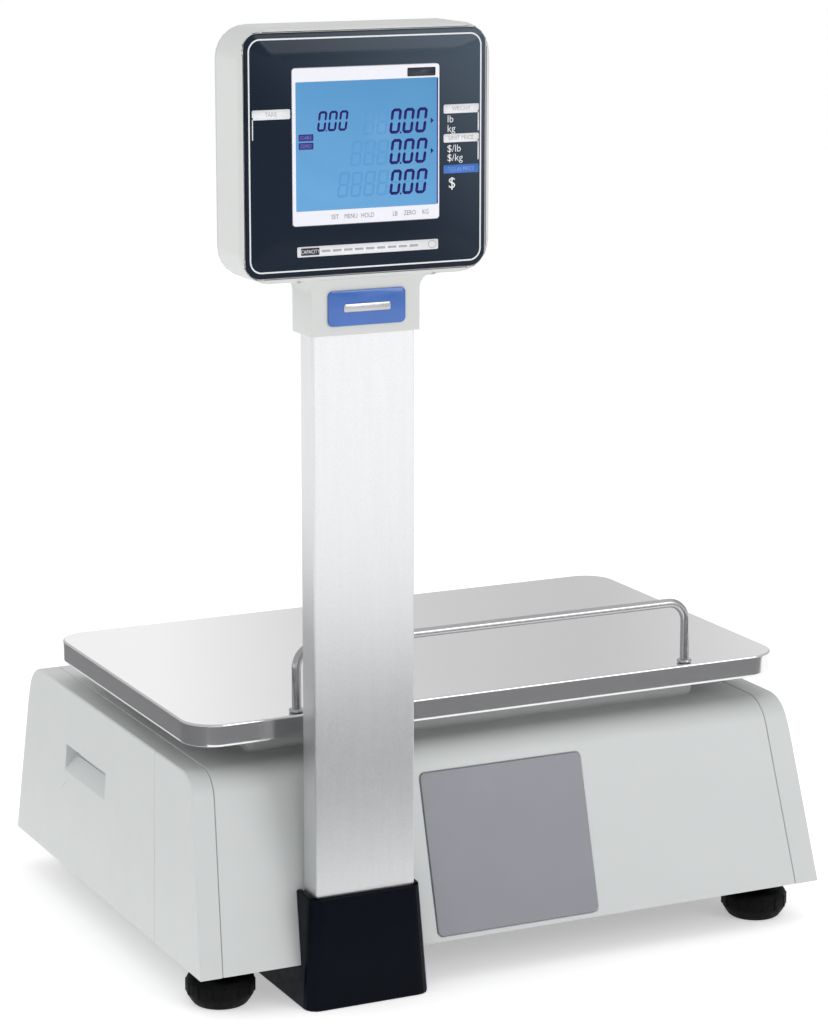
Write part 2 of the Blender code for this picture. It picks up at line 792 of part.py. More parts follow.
def keys():
    """Twelve push keys, each in its own hole, its origin on the line it travels along."""
    for names, up in zip(KEY_NAMES, KEY_ROWS):
        for name, x in zip(names, KEY_COLUMNS):
            half = KEY_SIZE / 2
            cap = box(name, (-half, -0.0045, -half), (half, KEY_PROUD, half))
            round_edges(cap, lambda co: co.y > 0.0, 0.0010, 2)
            cap.location = (x, 0, up)
            cap.parent = FRONT_FACE
            finish(cap, "key_grey")


def tear_bar():
    """Bezel round the label slot in the front face."""
    outline = rounded_rectangle(
        (EXIT_X[0] + 0.0004, EXIT_UP[0] + 0.0004), (EXIT_X[1] - 0.0004, EXIT_UP[1] - 0.0004), 0.002, 2)
    slot = rounded_rectangle(
        (EXIT_X[0] + 0.004, EXIT_UP[0] + 0.006), (EXIT_X[1] - 0.004, EXIT_UP[1] - 0.005), 0.001, 2)
    bar = slab("tear_bar", "Y", -0.005, 0.0012, outline, slot)
    attach(FRONT_FACE, bar)
    return finish(bar, "black_plastic")


def bubble_level():
    level = turned("bubble_level", [
        (0.0, 0.0072), (LEVEL_RADIUS - 0.001, 0.0068), (LEVEL_RADIUS, 0.0058), (LEVEL_RADIUS, 0.0),
        (0.0, 0.0)], 24)
    level.location = (LEVEL_PLACE[0], LEVEL_PLACE[1], BODY_TOP - 0.0060)
    return finish(smooth(level), "level_green")


# ---------------------------------------------------------------- sockets and switch on the right side

def mains_inlet():
    """Three-pin inlet: a block with a deep mouth."""
    half_y = INLET_SIZE[0] / 2
    half_z = INLET_SIZE[1] / 2
    body = box(
        "mains_inlet", (-0.024, INLET_Y - half_y, INLET_UP - half_z),
        (0.0002, INLET_Y + half_y, INLET_UP + half_z))
    mouth = slab("inlet_mouth", "X", -0.018, 0.010, filleted([
        (INLET_Y - half_y + 0.0018, INLET_UP - half_z + 0.0018, 0.001),
        (INLET_Y + half_y - 0.0018, INLET_UP - half_z + 0.0018, 0.001),
        (INLET_Y + half_y - 0.0018, INLET_UP + half_z - 0.006, 0.001),
        (INLET_Y + half_y - 0.006, INLET_UP + half_z - 0.0018, 0.001),
        (INLET_Y - half_y + 0.006, INLET_UP + half_z - 0.0018, 0.001),
        (INLET_Y - half_y + 0.0018, INLET_UP + half_z - 0.006, 0.001),
    ], 2))
    attach(RIGHT_FACE, body, mouth)
    cut(body, mouth)
    for offset_y, offset_z in ((-0.007, -0.002), (0.0, 0.002), (0.007, -0.002)):
        pin = box(
            "inlet_pin_%d" % (offset_y * 1000),
            (-0.020, INLET_Y + offset_y - 0.001, INLET_UP + offset_z - 0.002),
            (-0.004, INLET_Y + offset_y + 0.001, INLET_UP + offset_z + 0.002))
        attach(RIGHT_FACE, pin)
        join(body, pin)
    return finish(body, "black_plastic")


def power_rocker():
    """Rocker key of the power switch, pivoting about the middle of its hole."""
    half = ROCKER_SIZE[1] / 2 - 0.0004
    depth = ROCKER_SIZE[0] / 2 - 0.0004
    outline = [
        (0.0022, half), (-0.0018, 0.0), (0.0030, -half), (-0.0080, -half + 0.003), (-0.0080, half - 0.003)]
    rocker = slab("power_rocker", "Y", -depth, depth, [(u - 0.0015, v) for u, v in outline])
    rocker.location = (0, ROCKER_Y, INLET_UP)
    rocker.parent = RIGHT_FACE
    return finish(rocker, "black_plastic")


def socket_plate():
    """Block with the network, serial and memory-stick sockets."""
    half_y = SOCKETS_SIZE[0] / 2
    half_z = SOCKETS_SIZE[1] / 2
    plate = box("socket_plate", (-0.016, SOCKETS_Y - half_y, INLET_UP - half_z),
                (0.0, SOCKETS_Y + half_y, INLET_UP + half_z))
    attach(RIGHT_FACE, plate)
    for name, offset, size in SOCKETS:
        mouth = box(
            name, (-0.013, SOCKETS_Y + offset - size[0] / 2, INLET_UP - size[1] / 2),
            (0.010, SOCKETS_Y + offset + size[0] / 2, INLET_UP + size[1] / 2))
        attach(RIGHT_FACE, mouth)
        cut(plate, mouth)
    return finish(plate, "zinc_steel")


# ---------------------------------------------------------------- weighing

def load_cell():
    """Single-point load cell: a bar with two joined bores, fixed at one end and free at the other."""
    middle = -0.0035
    length, depth, height = LOAD_CELL
    bar = box("load_cell", (-length / 2, middle - depth / 2, LOAD_CELL_BOTTOM),
              (length / 2, middle + depth / 2, LOAD_CELL_BOTTOM + height))
    centre_z = LOAD_CELL_BOTTOM + height / 2
    outline = rounded_rectangle((-0.022, centre_z - 0.004), (0.022, centre_z + 0.004), 0.0035, 3)
    cut(bar, slab("cell_slot", "Y", middle - 0.02, middle + 0.02, outline))
    for x in (-0.018, 0.018):
        name = "cell_bore_%d" % (x * 1000)
        cut(bar, rod(name, "Y", (x, centre_z), 0.0075, middle - 0.02, middle + 0.02, 16))
    return finish(smooth(bar), "aluminium")


def load_cell_mount():
    mount = box(
        "load_cell_mount", (-0.065, -0.0180, TRAY_FLOOR + GAP), (-0.027, 0.0110, LOAD_CELL_BOTTOM - GAP))
    return finish(mount, "zinc_steel")


def platform():
    """Cast cross on a post: its four corners carry the platter."""
    cell_top = LOAD_CELL_BOTTOM + LOAD_CELL[2]
    post = box("platform", (POST_X - POST_SIZE[0] / 2, -0.0035 - POST_SIZE[1] / 2, cell_top + 0.0005),
               (POST_X + POST_SIZE[0] / 2, -0.0035 + POST_SIZE[1] / 2, PLATFORM_TOP - 0.001))
    plate = box("platform_plate", (-0.075, -0.0435, PLATFORM_TOP - 0.0052), (0.075, 0.0365, PLATFORM_TOP))
    join(post, plate)
    for sign_x in (-1, 1):
        for y in (PLATTER_REAR + 0.033, PLATTER_FRONT - 0.033):
            name = "%s_%s" % ("right" if sign_x > 0 else "left", "rear" if y < 0 else "front")
            start = Vector((sign_x * 0.050, 0.5 * (y - 0.0035)))
            stop = Vector((sign_x * 0.150, y))
            along = (stop - start).normalized()
            across = Vector((-along.y, along.x)) * 0.009
            arm = slab("arm_" + name, "Z", PLATFORM_TOP - 0.0050, PLATFORM_TOP - 0.0002, [
                tuple(start - across), tuple(stop - across), tuple(stop + across), tuple(start + across)])
            boss = rod("boss_" + name, "Z", tuple(stop), 0.0105, PLATFORM_TOP - 0.0051,
                       PLATTER_TOP - SHEET - GAP, 16)
            join(post, arm, boss)
    return finish(smooth(post), "aluminium")


def platter():
    """Stainless tray, upside down: flat top, rounded corners and a hemmed rim."""
    low = (-PLATTER_WIDTH / 2, PLATTER_REAR)
    high = (PLATTER_WIDTH / 2, PLATTER_FRONT)
    bottom = PLATTER_TOP - PLATTER_RIM
    tray = slab("platter", "Z", bottom, PLATTER_TOP, rounded_rectangle(low, high, PLATTER_CORNER))
    round_edges(tray, lambda co: co.z > PLATTER_TOP - 0.0001, PLATTER_EDGE, 3)
    round_edges(tray, lambda co: co.z < bottom + 0.0001, 0.0012, 2)
    inset = 0.0022
    hollow = slab("platter_hollow", "Z", bottom - 0.01, PLATTER_TOP - SHEET, rounded_rectangle(
        (low[0] + inset, low[1] + inset), (high[0] - inset, high[1] - inset), PLATTER_CORNER - inset))
    cut(tray, hollow)
    for x in (-RAIL_HALF, RAIL_HALF):
        cut(tray, rod("rail_hole_%d" % (x * 1000), "Z", (x, RAIL_Y), RAIL_ROD + 0.0005,
                      PLATTER_TOP - 0.005, PLATTER_TOP + 0.005, 16))
    return finish(smooth(tray), "stainless")


def guard_rail():
    """Bent rod along the customer edge of the platter, with a collar and a nut on each leg."""
    foot = PLATTER_TOP - SHEET - 0.0068
    bend_z = RAIL_TOP - RAIL_BEND
    bend_x = RAIL_HALF - RAIL_BEND
    left_bend = arc((-bend_x, bend_z), RAIL_BEND, 180, 90)
    right_bend = arc((bend_x, bend_z), RAIL_BEND, 90, 0)
    path = [(-RAIL_HALF, foot)] + left_bend + right_bend + [(RAIL_HALF, foot)]
    rail = wire("guard_rail", [(x, RAIL_Y, z) for x, z in path], RAIL_ROD, 3)
    for x in (-RAIL_HALF, RAIL_HALF):
        side = "left" if x < 0 else "right"
        collar = rod("collar_" + side, "Z", (x, RAIL_Y), RAIL_ROD + 0.0008, PLATTER_TOP + GAP,
                     PLATTER_TOP + 0.0022, 16)
        nut = rod("nut_" + side, "Z", (x, RAIL_Y), 0.0035, PLATTER_TOP - SHEET - 0.0048,
                  PLATTER_TOP - SHEET - GAP, 6)
        join(rail, collar, nut)
    return finish(rail, "stainless")


# ---------------------------------------------------------------- electronics in the body

def main_board():
    board = box("main_board", (0.090, -0.062, 0.0345), (0.168, 0.050, 0.0361))
    parts = [
        box("processor", (0.118, -0.030, 0.0358), (0.142, -0.006, 0.0385)),
        box("memory_module", (0.100, 0.012, 0.0358), (0.112, 0.040, 0.0420)),
        box("board_plug", (0.150, 0.020, 0.0358), (0.160, 0.044, 0.0440)),
    ]
    for x in (0.095, 0.163):
        for y in (-0.057, 0.045):
            parts.append(rod("standoff_%d_%d" % (x * 1000, y * 1000), "Z", (x, y), 0.003,
                             TRAY_FLOOR + GAP, 0.0350, 8))
    join(board, *parts)
    return finish(board, "board_green")


def power_supply():
    supply = box("power_supply", (0.086, -0.134, TRAY_FLOOR + GAP), (0.168, -0.072, 0.060))
    return finish(bevel(supply, 0.001, 1), "zinc_steel")


# ---------------------------------------------------------------- label printer

def printer_frame():
    """Frame wall, floor flange and outer cheek in one, with the spindle for the label roll."""
    wall = slab("printer_frame", "X", FRAME_X, FRAME_X + FRAME_THICK, filleted([
        (-0.050, 0.0272, 0), (0.1505, 0.0272, 0), (0.1505, 0.090, 0.006), (0.128, 0.112, 0.006),
        (0.030, 0.126, 0.010), (-0.050, 0.110, 0.010)], 3))
    flange = box("frame_flange", (CHEEK_X, -0.048, 0.0272), (FRAME_X + 0.001, 0.1505, 0.0292))
    cheek = slab("frame_cheek", "X", CHEEK_X, CHEEK_X + CHEEK_THICK, filleted([
        (0.1035, 0.0282, 0), (0.1505, 0.0282, 0), (0.1505, 0.090, 0.005), (0.128, 0.108, 0.005),
        (0.1035, 0.108, 0.005)], 3))
    spindle = rod("frame_spindle", "X", (ROLL_Y, ROLL_Z), SPINDLE_RADIUS, -0.1780, FRAME_X + 0.001, 20)
    join(wall, flange, cheek, spindle)
    holes = (
        ("platen_hole", PLATEN_Y, PLATEN_Z, 0.0036),
        ("spool_hole", SPOOL_Y, SPOOL_Z, 0.0046),
        ("head_pivot_hole", HEAD_PIVOT_Y, HEAD_PIVOT_Z, 0.0026),
    )
    for name, y, z, radius in holes:
        cut(wall, rod(name, "X", (y, z), radius, -0.20, -0.10, 16))
    return finish(smooth(wall), "zinc_steel")


def label_roll():
    half = 0.0265
    roll = turned("label_roll", [
        (ROLL_CORE, half), (ROLL_RADIUS, half), (ROLL_RADIUS, -half), (ROLL_CORE, -half),
        (ROLL_CORE, half)], 40)
    roll.rotation_euler = (0, math.radians(90), 0)
    roll.location = (-0.149, ROLL_Y, ROLL_Z)
    return finish(smooth(roll), "paper")


def take_up_spool():
    """Core with two flanges, on a shaft that carries a belt pulley behind the frame wall."""
    spool = turned("take_up_spool", [
        (0.0, 0.0265), (0.018, 0.0265), (0.018, 0.0250), (0.010, 0.0250), (0.010, -0.0250),
        (0.018, -0.0250),
        (0.018, -0.0265), (0.004, -0.0265), (0.004, -0.0375), (0.008, -0.0375), (0.008, -0.0420),
        (0.0, -0.0420)], 28)
    spool.rotation_euler = (0, math.radians(-90), 0)
    spool.location = (-0.149, SPOOL_Y, SPOOL_Z)
    return finish(smooth(spool), "black_plastic")


def platen_roller():
    """Rubber roller on a steel shaft, with its gear behind the frame wall."""
    roller = turned("platen_roller", [
        (0.0, 0.0320), (0.003, 0.0320), (0.003, 0.0270), (PLATEN_RADIUS, 0.0270), (PLATEN_RADIUS, -0.0270),
        (0.003, -0.0270), (0.003, -0.0430), (0.0, -0.0430)], 24)
    gear = slab("platen_gear", "Z", -0.0425, -0.0380, gear_outline(PLATEN_TEETH, GEAR_MODULE, GEAR_PHASE))
    gear.rotation_euler = roller.rotation_euler = (0, math.radians(-90), 0)
    gear.location = roller.location = (-0.149, PLATEN_Y, PLATEN_Z)
    join(roller, gear)
    return finish(smooth(roller), "black_rubber")


def motor_pinion():
    """Ten-tooth pinion on the motor shaft."""
    half = math.pi / PINION_TEETH
    pinion = slab("motor_pinion", "Z", -0.0425, -0.0380,
                  gear_outline(PINION_TEETH, GEAR_MODULE, GEAR_PHASE + math.pi + half))
    shaft = rod("pinion_shaft", "Z", (0, 0), 0.0018, -0.0520, -0.0400, 12)
    shaft.rotation_euler = pinion.rotation_euler = (0, math.radians(-90), 0)
    shaft.location = pinion.location = (-0.149, PINION_Y, PINION_Z)
    join(pinion, shaft)
    return finish(pinion, "gear_white")


def stepper_motor():
    """Square stepper behind the pinion, on three posts from the frame wall."""
    half = 0.0175
    motor = box(
        "stepper_motor", (-0.1030, PINION_Y - half, PINION_Z - half),
        (-0.0780, PINION_Y + half, PINION_Z + half))
    bevel(motor, 0.002, 1)
    cut(motor, rod("motor_bore", "X", (PINION_Y, PINION_Z), 0.0024, -0.110, -0.094, 12))
    for sign_y, sign_z in ((-1, -1), (-1, 1), (1, -1)):
        post = rod("motor_post_%d_%d" % (sign_y, sign_z), "X",
                   (PINION_Y + sign_y * 0.0135, PINION_Z + sign_z * 0.0135), 0.0022,
                   FRAME_X + FRAME_THICK + GAP, -0.1020, 10)
        join(motor, post)
    return finish(motor, "zinc_steel")


def thermal_head():
    """Print head bar over the platen, on arms that swing about a pivot pin."""
    head = box(
        "thermal_head", (-0.1755, 0.1290, PLATEN_Z + PLATEN_RADIUS + 0.0005), (-0.1215, 0.1500, 0.0800))
    arm = slab("head_arm", "X", -0.1750, -0.1220, filleted([
        (0.1300, 0.0785, 0), (0.1400, 0.0785, 0), (HEAD_PIVOT_Y + 0.004, HEAD_PIVOT_Z + 0.005, 0.003),
        (HEAD_PIVOT_Y - 0.005, HEAD_PIVOT_Z + 0.004, 0.003),
        (HEAD_PIVOT_Y - 0.003, HEAD_PIVOT_Z - 0.005, 0.003)], 3))
    gap = box("head_arm_gap", (-0.1700, 0.100, 0.0805), (-0.1270, 0.1385, 0.110))
    pin = rod("head_pin", "X", (HEAD_PIVOT_Y, HEAD_PIVOT_Z), 0.0022, -0.1785, -0.1135, 12)
    cut(arm, gap)
    join(head, arm, pin)
    set_origin(head, (-0.149, HEAD_PIVOT_Y, HEAD_PIVOT_Z))
    return finish(head, "zinc_steel")


def head_lever():
    """Release lever outside the cheek: it lifts the print head off the platen."""
    hub = rod("head_lever", "X", (LEVER_Y, LEVER_Z), 0.0055, -0.1825, CHEEK_X - GAP, 16)
    arm = slab("lever_arm", "X", -0.1823, -0.1795, filleted([
        (LEVER_Y - 0.001, LEVER_Z - 0.0040, 0), (LEVER_Y + 0.001, LEVER_Z + 0.0040, 0),
        (LEVER_Y - 0.027, LEVER_Z + 0.0055, 0.002), (LEVER_Y - 0.028, LEVER_Z - 0.0015, 0.002)], 3))
    join(hub, arm)
    set_origin(hub, (-0.1805, LEVER_Y, LEVER_Z))
    return finish(hub, "badge_blue")


# ---------------------------------------------------------------- feet

def levelling_feet():
    """Four screw feet: a flared rubber base, a hexagon above it and a stud into the tray."""
    for place, x, y in FOOT_PLACES:
        foot = turned("foot_" + place, [
            (0.0, 0.0268), (STUD_RADIUS, 0.0268), (STUD_RADIUS, 0.0225), (0.0100, 0.0225),
            (0.0100, 0.0180),
            (0.0165, 0.0178), (0.0195, 0.0160), (FOOT_RADIUS, 0.0140), (FOOT_RADIUS, 0.0070),
            (0.0185, 0.0040), (0.0150, 0.0), (0.0, 0.0)], 24)
        foot.location = (x, y, 0)
        finish(smooth(foot), "black_rubber")


# ---------------------------------------------------------------- pole

def pole_tube():
    outer = rounded_rectangle(
        (POLE_X - POLE_WIDTH / 2, POLE_Y - POLE_DEPTH / 2),
        (POLE_X + POLE_WIDTH / 2, POLE_Y + POLE_DEPTH / 2),
        0.0014, 2)
    inner = rounded_rectangle(
        (POLE_X - POLE_WIDTH / 2 + POLE_WALL, POLE_Y - POLE_DEPTH / 2 + POLE_WALL),
        (POLE_X + POLE_WIDTH / 2 - POLE_WALL, POLE_Y + POLE_DEPTH / 2 - POLE_WALL), 0.0005, 1)
    tube = slab("pole_tube", "Z", POLE_BOTTOM, POLE_TOP, outer, inner)
    return finish(smooth(tube), "aluminium")


def screw_hole(name, x, low, high):
    return rod(name, "Z", (x, SCREW_Y), 0.0027, low, high, 12)


def pole_bracket():
    """Steel foot under the body with a tongue that stands up inside the pole."""
    foot = box(
        "pole_bracket", (POLE_X - 0.031, TONGUE_Y[0], 0.0030),
        (POLE_X + 0.031, BOOT_REACH - 0.006, 0.0055))
    tongue = box(
        "bracket_tongue", (POLE_X - 0.027, TONGUE_Y[0], 0.0040), (POLE_X + 0.027, TONGUE_Y[1], 0.120))
    join(foot, tongue)
    for x in SCREW_X:
        cut(foot, screw_hole("bracket_hole_%d" % (x * 1000), x, 0.0, 0.010))
    return finish(foot, "zinc_steel")


def pole_boot():
    """Moulded foot of the pole: a tapered collar in front of the body and a toe that runs under it."""
    outline = filleted([
        (POLE_X - BOOT_HALF, BOOT_OUTER, BOOT_CORNER), (POLE_X + BOOT_HALF, BOOT_OUTER, BOOT_CORNER),
        (POLE_X + BOOT_HALF, BOOT_REACH, 0.002), (POLE_X - BOOT_HALF, BOOT_REACH, 0.002)], 4)
    boot = slab("pole_boot", "Z", 0.0, BOOT_TOP, outline)
    for vert in boot.data.vertices:
        if vert.co.z > BOOT_TOP / 2:
            vert.co.x -= BOOT_TAPER * (vert.co.x - POLE_X) / BOOT_HALF
            if vert.co.y < -0.150:
                vert.co.y += BOOT_TAPER
    under_body = slab("body_clearance", "X", POLE_X - 0.06, POLE_X + 0.06, [
        (rear_line(0.0236) - 0.0004, 0.0236), (0.0, 0.0236), (0.0, 0.080),
        (rear_line(0.080) - 0.0004, 0.080)])
    pole_pocket = box(
        "pole_pocket", (POLE_X - POLE_WIDTH / 2 - GAP, POLE_Y - POLE_DEPTH / 2 - GAP, POLE_BOTTOM - GAP),
        (POLE_X + POLE_WIDTH / 2 + GAP, -0.120, BOOT_TOP + 0.01))
    tongue_pocket = box("tongue_pocket", (POLE_X - 0.0275, TONGUE_Y[0] - 0.0004, -0.01),
                        (POLE_X + 0.0275, TONGUE_Y[1] + 0.0004, POLE_BOTTOM + 0.005))
    foot_pocket = box("bracket_pocket", (POLE_X - 0.0315, TONGUE_Y[0] - 0.0004, -0.01),
                      (POLE_X + 0.0315, BOOT_REACH - 0.0055, 0.0060))
    cable_slot = box("cable_slot", (POLE_X - 0.005, TONGUE_Y[1] - 0.001, CABLE_HEIGHT - 0.006),
                     (POLE_X + 0.005, -0.130, POLE_BOTTOM + 0.002))
    cut(boot, under_body, pole_pocket, tongue_pocket, foot_pocket, cable_slot)
    for x in SCREW_X:
        cut(boot, screw_hole("boot_hole_%d" % (x * 1000), x, -0.01, 0.030))
    return finish(smooth(boot), "black_plastic")


def pole_screws():
    for number, x in enumerate(SCREW_X, 1):
        screw = turned("pole_screw_%d" % number, [
            (0.0, 0.0300), (0.0020, 0.0300), (0.0020, 0.0027), (0.0050, 0.0027), (0.0046, 0.0006),
            (0.0, 0.0006)], 16)
        screw.location = (x, SCREW_Y, 0)
        finish(smooth(screw), "zinc_steel")


def pole_cable():
    """Display cable: out of the body, up the pole behind the tongue and into the display case."""
    path = [
        (POLE_X, -0.128, CABLE_HEIGHT),
        (POLE_X, -0.142, CABLE_HEIGHT),
        (POLE_X, -0.1470, CABLE_HEIGHT + 0.0015),
        (POLE_X, -0.1483, CABLE_HEIGHT + 0.0060),
        (POLE_X, -0.1485, CABLE_HEIGHT + 0.0140),
        (POLE_X, -0.1485, 0.240),
        (POLE_X, -0.1485, 0.426),
        (POLE_X, -0.1470, 0.436),
        (POLE_X, -0.1440, 0.446),
    ]
    return finish(wire("pole_cable", path, 0.0020), "black_rubber")


# ---------------------------------------------------------------- customer display

def head_outline(inset=0.0):
    return rounded_rectangle(
        (POLE_X - HEAD_HALF + inset, HEAD_BOTTOM + inset), (POLE_X + HEAD_HALF - inset, HEAD_TOP - inset),
        HEAD_CORNER - inset, 6)


def window_outline(grow):
    return rounded_rectangle(
        (POLE_X - WINDOW_HALF - grow, WINDOW_BOTTOM - grow),
        (POLE_X + WINDOW_HALF + grow, WINDOW_TOP + grow),
        WINDOW_CORNER + grow, 4)


def neck_outline():
    """Sleeve for the pole, flaring into the bottom of the display with two hollow curves."""
    left = arc((POLE_X - NECK_HALF - NECK_FLARE, HEAD_BOTTOM - NECK_FLARE), NECK_FLARE, 90, 0, 4)
    right = arc((POLE_X + NECK_HALF + NECK_FLARE, HEAD_BOTTOM - NECK_FLARE), NECK_FLARE, 180, 90, 4)
    return ([(POLE_X - NECK_HALF - NECK_FLARE, HEAD_BOTTOM + 0.002)] + left
            + [(POLE_X - NECK_HALF, NECK_BOTTOM), (POLE_X + NECK_HALF, NECK_BOTTOM)] + right
            + [(POLE_X + NECK_HALF + NECK_FLARE, HEAD_BOTTOM + 0.002)])


def display_front_case():
    case = slab("display_front_case", "Y", HEAD_FACE, HEAD_SPLIT, head_outline())
    round_edges(case, lambda co: co.y < HEAD_FACE + 0.0001, 0.0022, 3)
    neck = slab("display_neck", "Y", NECK_FACE, NECK_BACK, neck_outline())
    cavity = slab("display_cavity", "Y", HEAD_FACE + 0.0045, HEAD_SPLIT + 0.01, head_outline(HEAD_WALL))
    recess = slab("window_recess", "Y", HEAD_FACE - 0.01, HEAD_FACE + 0.0020, window_outline(GAP))
    opening = slab("window_opening", "Y", HEAD_FACE - 0.01, HEAD_FACE + 0.01, window_outline(-0.004))
    sleeve = box(
        "pole_sleeve", (POLE_X - POLE_WIDTH / 2 - GAP, POLE_Y - POLE_DEPTH / 2 - GAP, NECK_BOTTOM - 0.01),
        (POLE_X + POLE_WIDTH / 2 + GAP, POLE_Y + POLE_DEPTH / 2 + GAP, HEAD_BOTTOM + 0.01))
    join(case, neck)
    cut(case, cavity, recess, opening, sleeve)
    return finish(smooth(case), "case_grey")


def display_rear_case():
    case = slab("display_rear_case", "Y", HEAD_SPLIT + GAP, HEAD_BACK, head_outline())
    round_edges(case, lambda co: co.y > HEAD_BACK - 0.0001, 0.0050, 4)
    hollow = slab("rear_case_hollow", "Y", HEAD_SPLIT - 0.01, HEAD_BACK - WALL, head_outline(0.006))
    cut(case, hollow)
    return finish(smooth(case), "case_grey")


def display_window():
    window = slab("display_window", "Y", HEAD_FACE + 0.0002, HEAD_FACE + 0.0017, window_outline(0.0))
    return finish(window, "navy_glass")


def customer_lcd():
    lcd = box(
        "customer_lcd", (POLE_X - 0.044, HEAD_FACE + 0.0050, 0.450),
        (POLE_X + 0.044, HEAD_FACE + 0.0090, 0.535))
    return finish(lcd, "lcd_blue")


def display_board():
    board = box("display_board", (POLE_X - 0.060, HEAD_FACE + 0.0100, 0.4400),
                (POLE_X + 0.060, HEAD_FACE + 0.0116, 0.5450))
    plug = box(
        "display_plug", (POLE_X + 0.020, HEAD_FACE + 0.0110, 0.4450),
        (POLE_X + 0.040, HEAD_FACE + 0.0180, 0.4530))
    join(board, plug)
    return finish(board, "board_green")


def badge():
    outline = rounded_rectangle((POLE_X - 0.0231, 0.3937), (POLE_X + 0.0237, 0.4133), 0.003, 4)
    plate = slab("badge", "Y", NECK_FACE - 0.0011, NECK_FACE - GAP, outline)
    return finish(plate, "badge_blue")


clear_scene()
PARTS = make_collection("retail_price_scale")
CUTTERS = make_collection("cutters")
FRONT_FACE = frame_empty("front_face", (0, BODY_FRONT, BODY_BOTTOM), (FRONT_LEAN, 0, 0))
REAR_FACE = frame_empty("rear_face", (0, BODY_REAR, BODY_BOTTOM), (-REAR_LEAN, 0, 0))
RIGHT_FACE = frame_empty("right_face", (BODY_WIDTH / 2, 0, BODY_BOTTOM), (0, -SIDE_LEAN, 0))

upper_case()
printer_side_cover()
printer_door()
right_side_cover()
base_tray()
rear_blanking_plate()
operator_panel()
preset_key_sheet()
operator_window()
operator_lcd()
key_board()
keys()
tear_bar()
bubble_level()
mains_inlet()
power_rocker()
socket_plate()
load_cell()
load_cell_mount()
platform()
platter()
guard_rail()
main_board()
power_supply()
printer_frame()
label_roll()
take_up_spool()
platen_roller()
motor_pinion()
stepper_motor()
thermal_head()
head_lever()
levelling_feet()
pole_tube()
pole_bracket()
pole_boot()
pole_screws()
pole_cable()
display_front_case()
display_rear_case()
display_window()
customer_lcd()
display_board()
badge()
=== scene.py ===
"""Finishes and fine parts of a retail price scale, laid out as an add-on and run as a script."""
import json
import math

import bmesh
import bpy
from bpy.props import FloatProperty, FloatVectorProperty, IntProperty, PointerProperty
from bpy.types import Operator, Panel, PropertyGroup
from mathutils import Matrix, Vector

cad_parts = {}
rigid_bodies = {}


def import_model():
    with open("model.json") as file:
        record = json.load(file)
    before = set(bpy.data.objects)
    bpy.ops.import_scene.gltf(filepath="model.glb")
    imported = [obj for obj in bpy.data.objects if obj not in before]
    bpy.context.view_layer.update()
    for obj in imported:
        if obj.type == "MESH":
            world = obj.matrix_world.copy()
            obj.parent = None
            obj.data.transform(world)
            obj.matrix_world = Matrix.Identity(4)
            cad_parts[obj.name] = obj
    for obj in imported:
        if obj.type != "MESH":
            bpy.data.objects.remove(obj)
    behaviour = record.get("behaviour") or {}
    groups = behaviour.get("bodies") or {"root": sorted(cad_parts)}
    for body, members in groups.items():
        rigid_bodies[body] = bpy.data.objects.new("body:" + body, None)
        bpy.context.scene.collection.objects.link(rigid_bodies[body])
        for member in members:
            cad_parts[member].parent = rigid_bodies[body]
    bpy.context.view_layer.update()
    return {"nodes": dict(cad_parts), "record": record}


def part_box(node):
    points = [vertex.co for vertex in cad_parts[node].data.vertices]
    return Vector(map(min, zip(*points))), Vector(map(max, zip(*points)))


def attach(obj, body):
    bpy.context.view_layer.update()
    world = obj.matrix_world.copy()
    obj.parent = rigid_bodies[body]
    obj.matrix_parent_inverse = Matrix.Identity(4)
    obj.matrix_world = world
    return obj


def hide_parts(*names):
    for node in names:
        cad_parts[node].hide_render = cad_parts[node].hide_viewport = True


bl_info = {
    "name": "Retail price scale",
    "version": (1, 0, 0),
    "blender": (4, 5, 0),
    "location": "3D View > Sidebar > Price scale",
    "description": "Finishes, prints and small parts of a retail price scale",
    "category": "Object",
}

for leftover in list(bpy.data.objects):
    bpy.data.objects.remove(leftover)
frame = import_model()
FINISHES = {}


# ---------------------------------------------------------------- sizes and colours

def length(name, description, default):
    return FloatProperty(
        name=name, description=description, default=default, min=0.0, unit="LENGTH", precision=5)


def colour(name, description, default):
    return FloatVectorProperty(
        name=name, description=description, default=(*default, 1.0), size=4, min=0.0, max=1.0,
        subtype="COLOR")


class PriceScaleSizes(PropertyGroup):
    case_edge: length("Case edge", "Softening of the moulded cases' sharp edges", 0.0006)
    metal_edge: length("Metal edge", "Softening of cut metal edges", 0.0003)
    rod_radius: length("Rail rod", "Radius of the guard rail's rod", 0.00275)
    foot_ribs: IntProperty(name="Foot ribs", description="Ribs round each foot", default=14, min=8)
    preset_columns: IntProperty(
        name="Preset columns", description="Preset keys in a row", default=10, min=1)
    preset_rows: IntProperty(name="Preset rows", description="Rows of preset keys", default=3, min=1)


